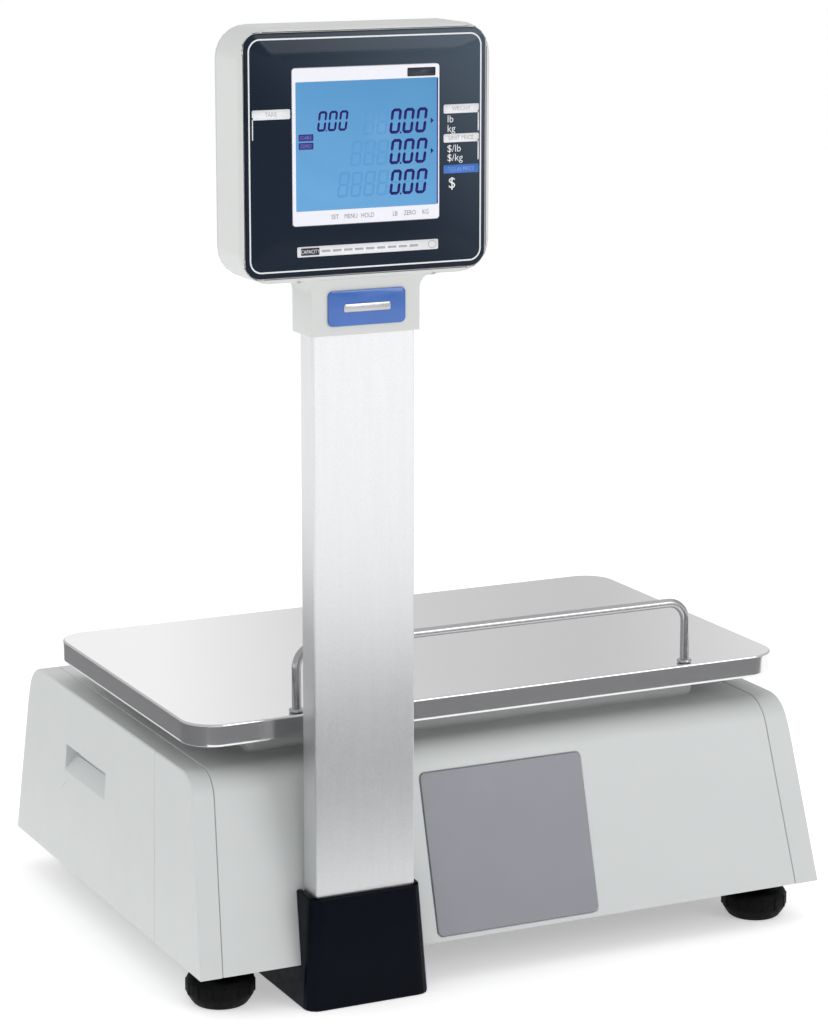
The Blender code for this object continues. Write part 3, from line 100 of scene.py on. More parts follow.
class PriceScaleColours(PropertyGroup):
    case: colour("Case", "Moulded case plastic", (0.610, 0.628, 0.624))
    head: colour("Display case", "Plastic of the customer display", (0.615, 0.628, 0.615))
    plate: colour("Blanking plate", "Plate in the customer side", (0.272, 0.274, 0.306))
    boot: colour("Boot", "Satin plastic of the pole's boot", (0.0012, 0.0026, 0.0062))
    rubber: colour("Rubber", "Feet, roller and cable", (0.0022, 0.0024, 0.0028))
    steel: colour("Stainless steel", "Platter and rail", (0.80, 0.80, 0.805))
    pole: colour("Pole", "Blasted aluminium", (0.79, 0.795, 0.80))
    zinc: colour("Zinc", "Plated sheet and turned steel", (0.56, 0.57, 0.58))
    window: colour("Window", "Printed back of the display window", (0.010, 0.022, 0.045))
    screen: colour("Screen", "Backlight of the displays", (0.115, 0.385, 0.735))
    digits: colour("Digits", "Dark segments of the displays", (0.022, 0.014, 0.150))
    badge: colour("Badge", "Blank badge on the neck", (0.020, 0.110, 0.420))
    board: colour("Board", "Solder mask", (0.010, 0.110, 0.045))
    key: colour("Keys", "Key caps", (0.42, 0.44, 0.46))
    paper: colour("Paper", "Label paper", (0.86, 0.85, 0.81))


# ---------------------------------------------------------------- nodes

class Signal:
    """One output of a node, which takes part in plain arithmetic."""

    def __init__(self, graph, node, output=0):
        self.graph = graph
        self.node = node
        self.socket = node.outputs[output]

    def out(self, name):
        return Signal(self.graph, self.node, name)

    def maths(self, operation, first, second=0.0):
        return self.graph.node("ShaderNodeMath", {"operation": operation}, {0: first, 1: second})

    def __add__(self, other):
        return self.maths("ADD", self, other)

    def __radd__(self, other):
        return self.maths("ADD", other, self)

    def __sub__(self, other):
        return self.maths("SUBTRACT", self, other)

    def __rsub__(self, other):
        return self.maths("SUBTRACT", other, self)

    def __mul__(self, other):
        return self.maths("MULTIPLY", self, other)

    def __rmul__(self, other):
        return self.maths("MULTIPLY", other, self)


class Graph:
    """The nodes of one tree, each made from its type, its settings and its inputs."""

    def __init__(self, tree):
        self.tree = tree

    def node(self, kind, settings=None, inputs=None, output=0):
        node = self.tree.nodes.new(kind)
        for key, value in (settings or {}).items():
            if key == "stops":
                self.set_stops(node.color_ramp, value)
            else:
                setattr(node, key, value)
        for key, value in (inputs or {}).items():
            self.feed(node.inputs[key], value)
        return Signal(self, node, output)

    def set_stops(self, ramp, stops):
        while len(ramp.elements) < len(stops):
            ramp.elements.new(0.5)
        for element, (position, shade) in zip(ramp.elements, stops):
            element.position = position
            element.color = shade

    def feed(self, socket, value):
        if isinstance(value, Signal):
            self.tree.links.new(value.socket, socket)
        else:
            socket.default_value = value


class Finish(Graph):
    """One material, with helpers for what its surface shows."""

    def __init__(self, name, shade, roughness, metallic=0.0, constants=None):
        self.material = bpy.data.materials.new(name)
        self.material.use_nodes = True
        super().__init__(self.material.node_tree)
        self.shader = self.tree.nodes["Principled BSDF"]
        self.shade = tuple(shade)
        self.wear(**{"Base Color": self.shade, "Roughness": roughness, "Metallic": metallic})
        self.wear(**(constants or {}))
        self.place = self.node("ShaderNodeTexCoord", output="Object")
        FINISHES[name] = self.material

    def wear(self, **sockets):
        for name, value in sockets.items():
            self.feed(self.shader.inputs[name], value)

    def moved(self, offset=(0, 0, 0), turn=(0, 0, 0), stretch=(1, 1, 1)):
        return self.node("ShaderNodeMapping", {}, {
            "Vector": self.place, "Location": offset, "Rotation": turn, "Scale": stretch})

    def noise(self, size, detail=2.0, where=None, output="Fac"):
        return self.node("ShaderNodeTexNoise", {}, {
            "Vector": where or self.place, "Scale": 1 / size, "Detail": detail}, output)

    def blend(self, factor, first, second):
        return self.node("ShaderNodeMix", {"data_type": "RGBA"}, {
            0: factor, 6: tuple(first), 7: tuple(second)}, 2)

    def tones(self, factor, low=0.94, high=1.05):
        """Base colour that drifts a little lighter and darker."""
        dark = (*[channel * low for channel in self.shade[:3]], 1)
        light = (*[min(1, channel * high) for channel in self.shade[:3]], 1)
        self.wear(**{"Base Color": self.blend(factor, dark, light)})
        return self

    def sheen_change(self, factor, low, high):
        self.wear(Roughness=self.node("ShaderNodeMapRange", {}, {
            "Value": factor, "From Min": 0.3, "From Max": 0.7, "To Min": low, "To Max": high}))
        return self

    def relief(self, height, depth, strength=1.0):
        bump = self.node("ShaderNodeBump", {}, {"Height": height, "Strength": strength, "Distance": depth})
        self.wear(Normal=bump)
        return self


def build_moulded_plastics(colours):
    for name, shade in (("case_plastic", colours.case), ("display_plastic", colours.head)):
        case = Finish(name, shade, 0.42, constants={"Specular IOR Level": 0.4})
        grain = case.noise(0.00055, 3.0)
        case.tones(case.noise(0.055, 3.0), 0.975, 1.02)
        case.sheen_change(case.noise(0.012, 4.0), 0.36, 0.46)
        case.relief(grain + 0.35 * case.noise(0.00018, 1.0), 0.000014)
    plate = Finish("plate_plastic", colours.plate, 0.40)
    plate.tones(plate.noise(0.03, 3.0), 0.95, 1.05).sheen_change(plate.noise(0.008, 4.0), 0.34, 0.45)
    plate.relief(plate.noise(0.0005, 3.0), 0.000018)
    boot = Finish("boot_plastic", colours.boot, 0.36, constants={"Specular IOR Level": 0.07})
    boot.tones(boot.noise(0.015, 4.0), 0.8, 1.3).sheen_change(boot.noise(0.006, 4.0), 0.30, 0.42)
    boot.relief(boot.noise(0.00045, 3.0), 0.000025)
    key = Finish("key_plastic", colours.key, 0.45)
    key.tones(key.noise(0.006, 3.0), 0.95, 1.06).sheen_change(key.noise(0.004, 3.0), 0.36, 0.50)
    key.relief(key.noise(0.0004, 3.0), 0.00002)
    gear = Finish("acetal", (0.78, 0.78, 0.74, 1), 0.42)
    gear.tones(gear.noise(0.004, 3.0), 0.93, 1.03).relief(gear.noise(0.0006, 2.0), 0.00002)
    gear.sheen_change(gear.noise(0.003), 0.36, 0.48)
    film = Finish("overlay_film", (0.105, 0.150, 0.205, 1), 0.32)
    film.tones(film.noise(0.03, 3.0), 0.94, 1.05).sheen_change(film.noise(0.005), 0.27, 0.36)
    film.relief(film.noise(0.0003, 2.0), 0.00001)


def build_rubber(colours):
    rubber = Finish("rubber", colours.rubber, 0.62, constants={"Specular IOR Level": 0.10})
    rubber.tones(rubber.noise(0.008, 5.0), 0.7, 1.9).sheen_change(rubber.noise(0.004, 4.0), 0.48, 0.72)
    rubber.relief(rubber.noise(0.0007, 4.0), 0.00006)


def build_metals(colours):
    steel = Finish("polished_steel", colours.steel, 0.13, 1.0)
    lines = steel.noise(0.012, 4.0, steel.moved(stretch=(1, 40, 40)))
    steel.tones(steel.noise(0.10, 2.0), 0.97, 1.02)
    steel.sheen_change(lines, 0.10, 0.19).relief(lines, 0.0000035)
    # Painted shade: a copy of the stainless steel whose base colour is painted darker, standing in for the
    # dark surroundings the rail reflects; the badge's bar uses it too.
    rail = Finish("steel_painted_darker", (0.50, 0.50, 0.51, 1), 0.2, 1.0)
    rail.tones(rail.noise(0.02, 3.0), 0.93, 1.03).sheen_change(rail.noise(0.003, 4.0), 0.16, 0.27)
    rail.relief(rail.noise(0.0008, 3.0), 0.000006)
    pole = Finish("blasted_aluminium", colours.pole, 0.40, 1.0)
    speck = pole.noise(0.0008, 6.0)
    streak = pole.noise(0.004, 4.0, pole.moved(stretch=(1, 1, 0.06)))
    pole.tones(0.75 * speck + 0.25 * streak, 0.84, 1.10).sheen_change(speck, 0.34, 0.46)
    pole.relief(speck, 0.00003)
    cast = Finish("cast_aluminium", (0.52, 0.52, 0.53, 1), 0.48, 1.0)
    cast.tones(cast.noise(0.010, 4.0), 0.85, 1.1).sheen_change(cast.noise(0.002, 4.0), 0.38, 0.58)
    cast.relief(cast.noise(0.0012, 4.0), 0.00012)
    zinc = Finish("zinc_plate", colours.zinc, 0.34, 1.0)
    flakes = zinc.node("ShaderNodeTexVoronoi", {}, {"Vector": zinc.place, "Scale": 260.0}, "Distance")
    zinc.tones(flakes, 0.86, 1.10).sheen_change(zinc.noise(0.004, 4.0), 0.28, 0.44)
    zinc.relief(zinc.noise(0.0010, 4.0), 0.00002)
    gold = Finish("contact_gold", (0.83, 0.62, 0.25, 1), 0.22, 1.0)
    gold.tones(gold.noise(0.001, 2.0), 0.9, 1.05).sheen_change(gold.noise(0.0006), 0.17, 0.30)
    gold.relief(gold.noise(0.0004), 0.000008)


def build_glossy_parts(colours):
    window = Finish("navy_window", colours.window, 0.06, constants={"Specular IOR Level": 0.16})
    low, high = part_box("display_window")
    place = window.moved(offset=(-low.x, 0, -low.z))
    apart = window.node("ShaderNodeSeparateXYZ", {}, {0: place})
    rise = apart.out("X") * (0.5 / (high.x - low.x)) + apart.out("Z") * (0.5 / (high.z - low.z))
    # Painted glow: the window's base colour is painted lighter towards the upper right.
    painted_glow = window.node("ShaderNodeMapRange", {"interpolation_type": "SMOOTHSTEP"}, {
        "Value": rise, "From Min": 0.35, "From Max": 1.05, "To Min": 0.0, "To Max": 1.0})
    window.wear(**{"Base Color": window.blend(painted_glow, (0.002, 0.009, 0.022, 1), (0.058, 0.082, 0.110, 1))})
    window.sheen_change(window.noise(0.02, 3.0), 0.05, 0.09).relief(window.noise(0.02, 1.0), 0.00001)
    badge = Finish("badge_enamel", colours.badge, 0.16,
                   constants={"Coat Weight": 0.7, "Coat Roughness": 0.04})
    badge.tones(badge.noise(0.012, 2.0), 0.85, 1.2).sheen_change(badge.noise(0.004), 0.13, 0.22)
    badge.relief(badge.noise(0.006, 1.0), 0.00002)
    glass = Finish("clear_window", (0.93, 0.96, 0.97, 1), 0.03,
                   constants={"IOR": 1.46, "Transmission Weight": 1.0})
    glass.sheen_change(glass.noise(0.01), 0.02, 0.05).relief(glass.noise(0.02, 1.0), 0.00001)
    vial = Finish("level_vial", (0.36, 0.78, 0.16, 1), 0.08,
                  constants={"Coat Weight": 1.0, "Coat Roughness": 0.03})
    vial.tones(vial.noise(0.006, 2.0), 0.85, 1.1).sheen_change(vial.noise(0.003), 0.06, 0.11)
    vial.relief(vial.noise(0.004, 1.0), 0.00001)


def build_screen(name, colours, node, strength):
    """Backlit field: brighter towards the bottom and the middle, with faint diffuser grain."""
    screen = Finish(name, (0.010, 0.018, 0.030, 1), 0.25, constants={
        "Specular IOR Level": 0.15, "Emission Strength": strength})
    low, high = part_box(node)
    place = screen.moved(offset=(-(low.x + high.x) / 2, 0, -low.z))
    apart = screen.node("ShaderNodeSeparateXYZ", {}, {0: place})
    height = apart.out("Z") * (1 / (high.z - low.z))
    side = apart.out("X") * (2 / (high.x - low.x))
    fall = height * 0.75 + side * 0.12 + 0.05 * screen.noise(0.03, 1.0)
    top = (*[channel * 0.84 for channel in colours.screen[:3]], 1)
    bottom = (min(1, colours.screen[0] * 1.35), min(1, colours.screen[1] * 1.14),
              min(1, colours.screen[2] * 1.07), 1)
    screen.tones(screen.noise(0.004), 0.8, 1.2).wear(**{"Emission Color": screen.blend(fall, bottom, top)})
    screen.sheen_change(screen.noise(0.01), 0.2, 0.3).relief(screen.noise(0.0006), 0.000006)


def build_boards_and_paper(colours):
    board = Finish("solder_mask", colours.board, 0.33)
    brick = board.node("ShaderNodeTexBrick", {"offset": 0.5, "squash": 2.0}, {
        "Vector": board.moved(), "Scale": 90.0, "Mortar Size": 0.06, "Brick Width": 0.9,
        "Row Height": 0.16}, "Fac")
    board.wear(**{"Base Color": board.blend(
        brick, colours.board, (colours.board[0] * 3, colours.board[1] * 2.0, colours.board[2] * 2.2, 1))})
    board.sheen_change(board.noise(0.004), 0.27, 0.40).relief(brick, 0.00003)
    chip = Finish("chip_resin", (0.014, 0.014, 0.016, 1), 0.5)
    chip.tones(chip.noise(0.003, 3.0), 0.7, 1.5).sheen_change(chip.noise(0.001), 0.42, 0.58)
    chip.relief(chip.noise(0.0003), 0.00002)
    paper = Finish("label_paper", colours.paper, 0.62)
    fibres = paper.noise(0.0012, 5.0)
    paper.tones(fibres, 0.95, 1.03).sheen_change(fibres, 0.5, 0.7).relief(fibres, 0.00002)
    low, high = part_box("label_roll")
    wound = Finish("wound_paper", colours.paper, 0.65)
    centre = wound.moved(offset=(0, -(low.y + high.y) / 2, -(low.z + high.z) / 2), stretch=(0.0, 1, 1))
    turns = wound.node("ShaderNodeTexWave", {"wave_type": "RINGS", "rings_direction": "X"}, {
        "Vector": centre, "Scale": 420.0, "Distortion": 0.6, "Detail": 1.0}, "Fac")
    wound.tones(0.6 * turns + 0.4 * wound.noise(0.002, 4.0), 0.86, 1.04)
    wound.sheen_change(wound.noise(0.002), 0.55, 0.72).relief(turns, 0.00004)


def build_inks(colours):
    inks = {
        "white_ink": (0.80, 0.81, 0.83, 1), "dark_ink": (0.016, 0.020, 0.035, 1),
        "grey_ink": (0.25, 0.27, 0.30, 1),
        "blue_ink": (0.045, 0.17, 0.56, 1), "pale_blue_ink": (0.19, 0.33, 0.74, 1),
        "tag_ink": (0.15, 0.17, 0.50, 1),
        # The violet ink prints the tags and also paints the shade line at the lit field's right edge.
        "violet_ink_and_shade": (0.022, 0.018, 0.22, 1), "faint_ink": (0.42, 0.42, 0.44, 1),
    }
    for name, shade in inks.items():
        ink = Finish(name, shade, 0.38)
        ink.tones(ink.noise(0.002, 3.0), 0.93, 1.05).sheen_change(ink.noise(0.001), 0.32, 0.45)
        ink.relief(ink.noise(0.0004), 0.000008)
    lit = Finish("segment_dark", colours.digits, 0.3, constants={"Specular IOR Level": 0.1})
    lit.tones(lit.noise(0.002), 0.85, 1.15).sheen_change(lit.noise(0.002), 0.26, 0.34)
    unlit = Finish("segment_faint", (0.010, 0.018, 0.030, 1), 0.3, constants={
        "Specular IOR Level": 0.15, "Emission Color": (0.112, 0.350, 0.690, 1), "Emission Strength": 0.90})
    unlit.tones(unlit.noise(0.002), 0.9, 1.1).sheen_change(unlit.noise(0.002), 0.26, 0.34)
    rim = Finish("lit_surround", (0.66, 0.66, 0.70, 1), 0.35, constants={
        "Specular IOR Level": 0.2, "Emission Color": (0.80, 0.80, 0.90, 1), "Emission Strength": 0.22})
    rim.tones(rim.noise(0.01, 3.0), 0.97, 1.02).sheen_change(rim.noise(0.002), 0.3, 0.4)


SLOT_FINISHES = {
    "case_grey": "case_plastic", "plate_grey": "plate_plastic", "black_plastic": "boot_plastic",
    "black_rubber": "rubber", "stainless": "polished_steel", "pole_aluminium": "blasted_aluminium",
    "cast_aluminium": "cast_aluminium", "zinc_steel": "zinc_plate", "navy_window": "navy_window",
    "clear_window": "clear_window", "lcd": "customer_screen", "board": "solder_mask",
    "badge_blue": "badge_enamel",
    "key_grey": "key_plastic", "key_overlay": "overlay_film", "paper": "wound_paper",
    "gear_white": "acetal",
    "level_glass": "level_vial",
}
NODE_SLOTS = {row["node"]: row["material_slot"] for row in frame["record"]["subparts"]}
NODE_BODIES = {
    node: body for body, nodes in frame["record"]["behaviour"]["bodies"].items() for node in nodes}


def dress(obj, finish):
    """Put a finish on every slot of an object."""
    if not obj.data.materials:
        obj.data.materials.append(FINISHES[finish])
    for slot in obj.material_slots:
        slot.link = "OBJECT"
        slot.material = FINISHES[finish]


# ---------------------------------------------------------------- pieces

def join_in(name, mesh, body, finish, replaces=(), sharp=30):
    """Turn a mesh into a piece of the scale that moves with a body."""
    obj = bpy.data.objects.new(name, mesh)
    bpy.context.scene.collection.objects.link(obj)
    mesh.shade_smooth()
    mesh.set_sharp_from_angle(angle=math.radians(sharp))
    mesh.materials.clear()
    mesh.materials.append(FINISHES[finish])
    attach(obj, body)
    if replaces:
        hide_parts(*replaces)
    return obj


def to_mesh(shape, name):
    mesh = bpy.data.meshes.new(name)
    shape.to_mesh(mesh)
    shape.free()
    return mesh


def soften(obj, width, segments=2, angle=34):
    """Small rounded edges that catch the light."""
    bevel = obj.modifiers.new("soft edges", "BEVEL")
    bevel.width = width
    bevel.segments = segments
    bevel.limit_method = "ANGLE"
    bevel.angle_limit = math.radians(angle)
    bevel.use_clamp_overlap = False
    bevel.harden_normals = False
    weights = obj.modifiers.new("even shading", "WEIGHTED_NORMAL")
    weights.keep_sharp = True
    return obj


def refined(node, name, width=0.0005, finish=None, segments=2):
    """A node's own shape, its flat faces joined and its sharp edges softened."""
    shape = bmesh.new()
    shape.from_mesh(frame["nodes"][node].data)
    bmesh.ops.remove_doubles(shape, verts=shape.verts, dist=0.000001)
    bmesh.ops.dissolve_limit(
        shape, angle_limit=math.radians(0.4), verts=shape.verts, edges=shape.edges, delimit={"NORMAL"})
    slot = NODE_SLOTS[node]
    finish = finish or SLOT_FINISHES[slot]
    obj = join_in(name, to_mesh(shape, name), NODE_BODIES[node], finish, (node,))
    return soften(obj, width, segments) if width else obj


def rounded(low, high, radius, steps=8):
    """Rounded rectangle as (u, v) points, anticlockwise."""
    corners = (
        (high[0] - radius, high[1] - radius, 0), (low[0] + radius, high[1] - radius, 90),
        (low[0] + radius, low[1] + radius, 180), (high[0] - radius, low[1] + radius, 270))
    points = []
    for u, v, start in corners:
        for step in range(steps + 1):
            angle = math.radians(start + 90 * step / steps)
            points.append((u + radius * math.cos(angle), v + radius * math.sin(angle)))
    return points


def disc(u, v, radius, count=24):
    return [(u + radius * math.cos(math.tau * i / count), v + radius * math.sin(math.tau * i / count))
            for i in range(count)]


def ring_at(centre, radius, height, count):
    """Level ring of points about a centre."""
    return [(u, v, centre[2] + height) for u, v in disc(centre[0], centre[1], radius, count)]


def loft(name, rings, wrap=False):
    """Skin over rings of equal count: closed into a loop, or capped at both ends."""
    shape = bmesh.new()
    loops = [[shape.verts.new(point) for point in ring] for ring in rings]
    pairs = list(zip(loops, loops[1:]))
    if wrap:
        pairs.append((loops[-1], loops[0]))
    for lower, upper in pairs:
        for index in range(len(lower)):
            after = (index + 1) % len(lower)
            shape.faces.new((lower[index], lower[after], upper[after], upper[index]))
    if not wrap:
        shape.faces.new(list(reversed(loops[0])))
        shape.faces.new(loops[-1])
    bmesh.ops.recalc_face_normals(shape, faces=shape.faces)
    return to_mesh(shape, name)


def turned(name, profile, centre, sides=48):
    """Turned shape about a vertical line from (radius, height) pairs."""
    return loft(name, [ring_at(centre, radius, height, sides) for radius, height in profile])


class Face:
    """A flat face of the scale: u across it, v up it and w out of it."""

    def __init__(self, origin, across, up):
        across = Vector(across).normalized()
        up = Vector(up).normalized()
        turn = Matrix((across, up, across.cross(up))).transposed()
        self.matrix = Matrix.Translation(origin) @ turn.to_4x4()

    def at(self, u, v, w=0.0):
        return self.matrix @ Vector((u, v, w))

    def ring(self, outline, w):
        return [self.at(u, v, w) for u, v in outline]


BODY_FOOT = 0.024
BODY_RISE = 0.111
BODY_FRONT = 0.166
BODY_HALF = 0.205
FRONT_SET_BACK = 0.012
SIDE_SET_BACK = 0.0083


def leaning_faces():
    """The display's face, the operator's face and the socket face."""
    display = Face((0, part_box("display_window")[0].y, 0), (1, 0, 0), (0, 0, 1))
    lean = math.atan2(FRONT_SET_BACK, BODY_RISE)
    operator = Face((0, BODY_FRONT, BODY_FOOT), (-1, 0, 0), (0, -math.sin(lean), math.cos(lean)))
    draft = math.atan2(SIDE_SET_BACK, BODY_RISE)
    sockets = Face((BODY_HALF, 0, BODY_FOOT), (0, 1, 0), (-math.sin(draft), 0, math.cos(draft)))
    return display, operator, sockets


DISPLAY_FACE, OPERATOR_FACE, SOCKET_FACE = leaning_faces()


def printed(name, face, depth, outlines, finish, body="base", ink=0.00004):
    """Ink laid on a face: each outline becomes a thin raised film."""
    shape = bmesh.new()
    for outline in outlines:
        area = sum(a[0] * b[1] - b[0] * a[1] for a, b in zip(outline, outline[1:] + outline[:1]))
        if area < 0:
            outline = outline[::-1]
        shape.faces.new([shape.verts.new(face.at(u, v, depth)) for u, v in outline])
    bmesh.ops.remove_doubles(shape, verts=shape.verts, dist=0.000001)
    obj = join_in(name, to_mesh(shape, name), body, finish)
    film = obj.modifiers.new("ink", "SOLIDIFY")
    film.thickness = ink
    film.offset = 1.0
    return obj


def band(outer, inner):
    """Outlines that fill the space between two outlines of equal count."""
    count = len(outer)
    return [[outer[i], outer[(i + 1) % count], inner[(i + 1) % count], inner[i]] for i in range(count)]


def line_frame(low, high, radius, width, steps=6):
    outer = rounded(low, high, radius, steps)
    inner = rounded(
        (low[0] + width, low[1] + width), (high[0] - width, high[1] - width), radius - width, steps)
    return band(outer, inner)


def strip(u0, v0, u1, v1):
    return [(u0, v0), (u1, v0), (u1, v1), (u0, v1)]


def lettering(words, size, u, v, align="CENTER", squeeze=1.0):
    """Outlines of generic words or numbers, set about a point."""
    text = bpy.data.curves.new("lettering", "FONT")
    text.body = words
    text.size = size
    text.align_x = align
    text.align_y = "CENTER"
    text.resolution_u = 3
    guide = bpy.data.objects.new("lettering", text)
    bpy.context.scene.collection.objects.link(guide)
    mesh = bpy.data.meshes.new_from_object(guide.evaluated_get(bpy.context.evaluated_depsgraph_get()))
    bpy.data.objects.remove(guide)
    outlines = []
    for polygon in mesh.polygons:
        corners = [mesh.vertices[i].co for i in polygon.vertices]
        outlines.append([(u + corner.x * squeeze, v + corner.y) for corner in corners])
    bpy.data.meshes.remove(mesh)
    return outlines


SEGMENT_ENDS = {
    "a": ((0, 1), (1, 1)), "b": ((1, 1), (1, 0.5)), "c": ((1, 0.5), (1, 0)), "d": ((0, 0), (1, 0)),
    "e": ((0, 0.5), (0, 0)), "f": ((0, 1), (0, 0.5)), "g": ((0, 0.5), (1, 0.5)),
}
LIT = {
    "0": "abcdef", "1": "bc", "2": "abged", "3": "abgcd", "4": "fgbc", "5": "afgcd", "6": "afgedc",
    "7": "abc",
    "8": "abcdefg", "9": "abcdfg", " ": "",
}


def segments(letters, u, v, width, height, thick, slope=0.13):
    """Outlines of the named bars of one seven-bar digit whose lower left corner is (u, v)."""
    outlines = []
    half = thick / 2
    inner_width = width - thick
    inner_height = height - thick
    for letter in letters:
        start, end = SEGMENT_ENDS[letter]
        a = Vector((start[0] * inner_width + half, start[1] * inner_height + half))
        b = Vector((end[0] * inner_width + half, end[1] * inner_height + half))
        along = (b - a).normalized()
        side = Vector((-along.y, along.x)) * half
        a = a + along * thick * (0.28 if start[1] == 0.5 and letter != "g" else -0.10)
        b = b - along * thick * (0.28 if end[1] == 0.5 and letter != "g" else -0.10)
        corners = [a, a + along * half + side, b - along * half + side, b, b - along * half - side,
                   a + along * half - side]
        outlines.append([(u + c.x + slope * c.y, v + c.y) for c in corners])
    return outlines


def number(words, right, v, height, thick, pitch_share=0.57, width_share=0.46):
    """Seven-bar number set from the right; a point takes no place of its own."""
    outlines = []
    pitch = height * pitch_share
    width = height * width_share
    left = right - width - height * 0.13
    for letter in reversed(words):
        if letter == ".":
            dot = left + (pitch + width) / 2 - thick * 0.3
            outlines.append(strip(dot, v, dot + thick * 0.6, v + thick * 0.6))
            continue
        outlines.extend(segments(LIT[letter], left, v, width, height, thick))
        left -= pitch
    return outlines


# ---------------------------------------------------------------- repeats and paths made by geometry nodes

def recipe(name, inputs):
    """New geometry tree with a geometry input and the named number inputs."""
    tree = bpy.data.node_groups.new(name, "GeometryNodeTree")
    tree.interface.new_socket("Geometry", in_out="INPUT", socket_type="NodeSocketGeometry")
    for label, kind, default in inputs:
        socket = tree.interface.new_socket(label, in_out="INPUT", socket_type=kind)
        if default is not None:
            socket.default_value = default
    tree.interface.new_socket("Geometry", in_out="OUTPUT", socket_type="NodeSocketGeometry")
    return tree


def close_recipe(graph, start, shape):
    """Realise the instances, set the material and hand the shape on."""
    real = graph.node("GeometryNodeRealizeInstances", {}, {0: shape})
    covered = graph.node("GeometryNodeSetMaterial", {},
                         {"Geometry": real, "Material": start.out("Material")})
    graph.feed(graph.tree.nodes.new("NodeGroupOutput").inputs[0], covered)


def round_recipe():
    """Copies of a small shape set round a circle, each turned to face outwards."""
    tree = recipe("set_round_a_circle", (
        ("Count", "NodeSocketInt", 12), ("Radius", "NodeSocketFloat", 0.01),
        ("Material", "NodeSocketMaterial", None)))
    graph = Graph(tree)
    start = graph.node("NodeGroupInput")
    circle = graph.node("GeometryNodeMeshCircle", {}, {
        "Vertices": start.out("Count"), "Radius": start.out("Radius")})
    index = graph.node("GeometryNodeInputIndex")
    share = graph.node("ShaderNodeMath", {"operation": "DIVIDE"}, {0: math.tau, 1: start.out("Count")})
    turn = index * share
    spin = graph.node("ShaderNodeCombineXYZ", {}, {"Z": turn})
    copies = graph.node("GeometryNodeInstanceOnPoints", {}, {
        "Points": circle, "Instance": start.out("Geometry"), "Rotation": spin})
    close_recipe(graph, start, copies)
    return tree


def grid_recipe():
    """Copies of a small shape in rows and columns."""
    tree = recipe("set_in_rows", (
        ("Columns", "NodeSocketInt", 4), ("Rows", "NodeSocketInt", 3), ("Across", "NodeSocketFloat", 0.1),
        ("Up", "NodeSocketFloat", 0.1), ("Material", "NodeSocketMaterial", None)))
    graph = Graph(tree)
    start = graph.node("NodeGroupInput")
    grid = graph.node("GeometryNodeMeshGrid", {}, {
        "Size X": start.out("Across"), "Size Y": start.out("Up"), "Vertices X": start.out("Columns"),
        "Vertices Y": start.out("Rows")})
    copies = graph.node("GeometryNodeInstanceOnPoints", {}, {
        "Points": grid, "Instance": start.out("Geometry")})
    close_recipe(graph, start, copies)
    return tree


def rod_recipe():
    """Round bar along a path."""
    tree = recipe("round_bar", (
        ("Radius", "NodeSocketFloat", 0.003), ("Sides", "NodeSocketInt", 24),
        ("Material", "NodeSocketMaterial", None)))
    graph = Graph(tree)
    start = graph.node("NodeGroupInput")
    section = graph.node("GeometryNodeCurvePrimitiveCircle", {}, {
        "Resolution": start.out("Sides"), "Radius": start.out("Radius")})
    bar = graph.node("GeometryNodeCurveToMesh", {}, {
        "Curve": start.out("Geometry"), "Profile Curve": section, "Fill Caps": True})
    close_recipe(graph, start, bar)
    return tree


def run_recipe(tree, source, name, **inputs):
    """Run a tree on a mesh or curve and keep the plain mesh that comes out."""
    carrier = bpy.data.objects.new(name + "_source", source)
    bpy.context.scene.collection.objects.link(carrier)
    step = carrier.modifiers.new(tree.name, "NODES")
    step.node_group = tree
    for item in tree.interface.items_tree:
        if item.in_out == "INPUT" and item.name in inputs:
            step[item.identifier] = inputs[item.name]
    bpy.context.view_layer.update()
    mesh = bpy.data.meshes.new_from_object(carrier.evaluated_get(bpy.context.evaluated_depsgraph_get()))
    mesh.name = name
    bpy.data.objects.remove(carrier)
    return mesh


def path_curve(name, points):
    curve = bpy.data.curves.new(name, "CURVE")
    curve.dimensions = "3D"
    spline = curve.splines.new("POLY")
    spline.points.add(len(points) - 1)
    for point, place in zip(spline.points, points):
        point.co = (*place, 1)
    return curve


def rod_along(name, points, radius, finish, sides=24):
    return run_recipe(rod_recipe(), path_curve(name, points), name, Radius=radius, Sides=sides,
                      Material=FINISHES[finish])


def joined(name, meshes):
    """One mesh from several."""
    shape = bmesh.new()
    for mesh in meshes:
        shape.from_mesh(mesh)
    return to_mesh(shape, name)


def block(low, high, edge=0.0002):
    """Small box with chamfered edges."""
    shape = bmesh.new()
    bmesh.ops.create_cube(shape, size=1.0)
    low, high = Vector(low), Vector(high)
    bmesh.ops.scale(shape, vec=high - low, verts=shape.verts)
    bmesh.ops.translate(shape, vec=(high + low) / 2, verts=shape.verts)
    bmesh.ops.bevel(shape, geom=shape.edges, offset=edge, segments=2, profile=0.5, affect="EDGES")
    return to_mesh(shape, "block")


def placed(mesh, matrix):
    mesh.transform(matrix)
    return mesh


def post_on(face, half_u, half_v, height, edge, place):
    """Small bar standing out of a face."""
    bar = block((-half_u, -half_v, 0.0), (half_u, half_v, height), edge)
    return placed(bar, face.matrix @ Matrix.Translation(place))


def inset_ring(face, low, high, radius, inset, w, steps):
    """Rounded outline moved in by the inset, on a face."""
    return face.ring(rounded((low[0] + inset, low[1] + inset), (high[0] - inset, high[1] - inset),
                             radius, steps), w)


# ---------------------------------------------------------------- what each operator builds

def make_finishes(sizes, colours):
    build_moulded_plastics(colours)
    build_rubber(colours)
    build_metals(colours)
    build_glossy_parts(colours)
    build_screen("customer_screen", colours, "customer_lcd", 0.86)
    build_screen("operator_screen", colours, "operator_lcd", 0.86)
    build_boards_and_paper(colours)
    build_inks(colours)
    for node, obj in frame["nodes"].items():
        dress(obj, SLOT_FINISHES[NODE_SLOTS[node]])
    dress(frame["nodes"]["operator_lcd"], "operator_screen")


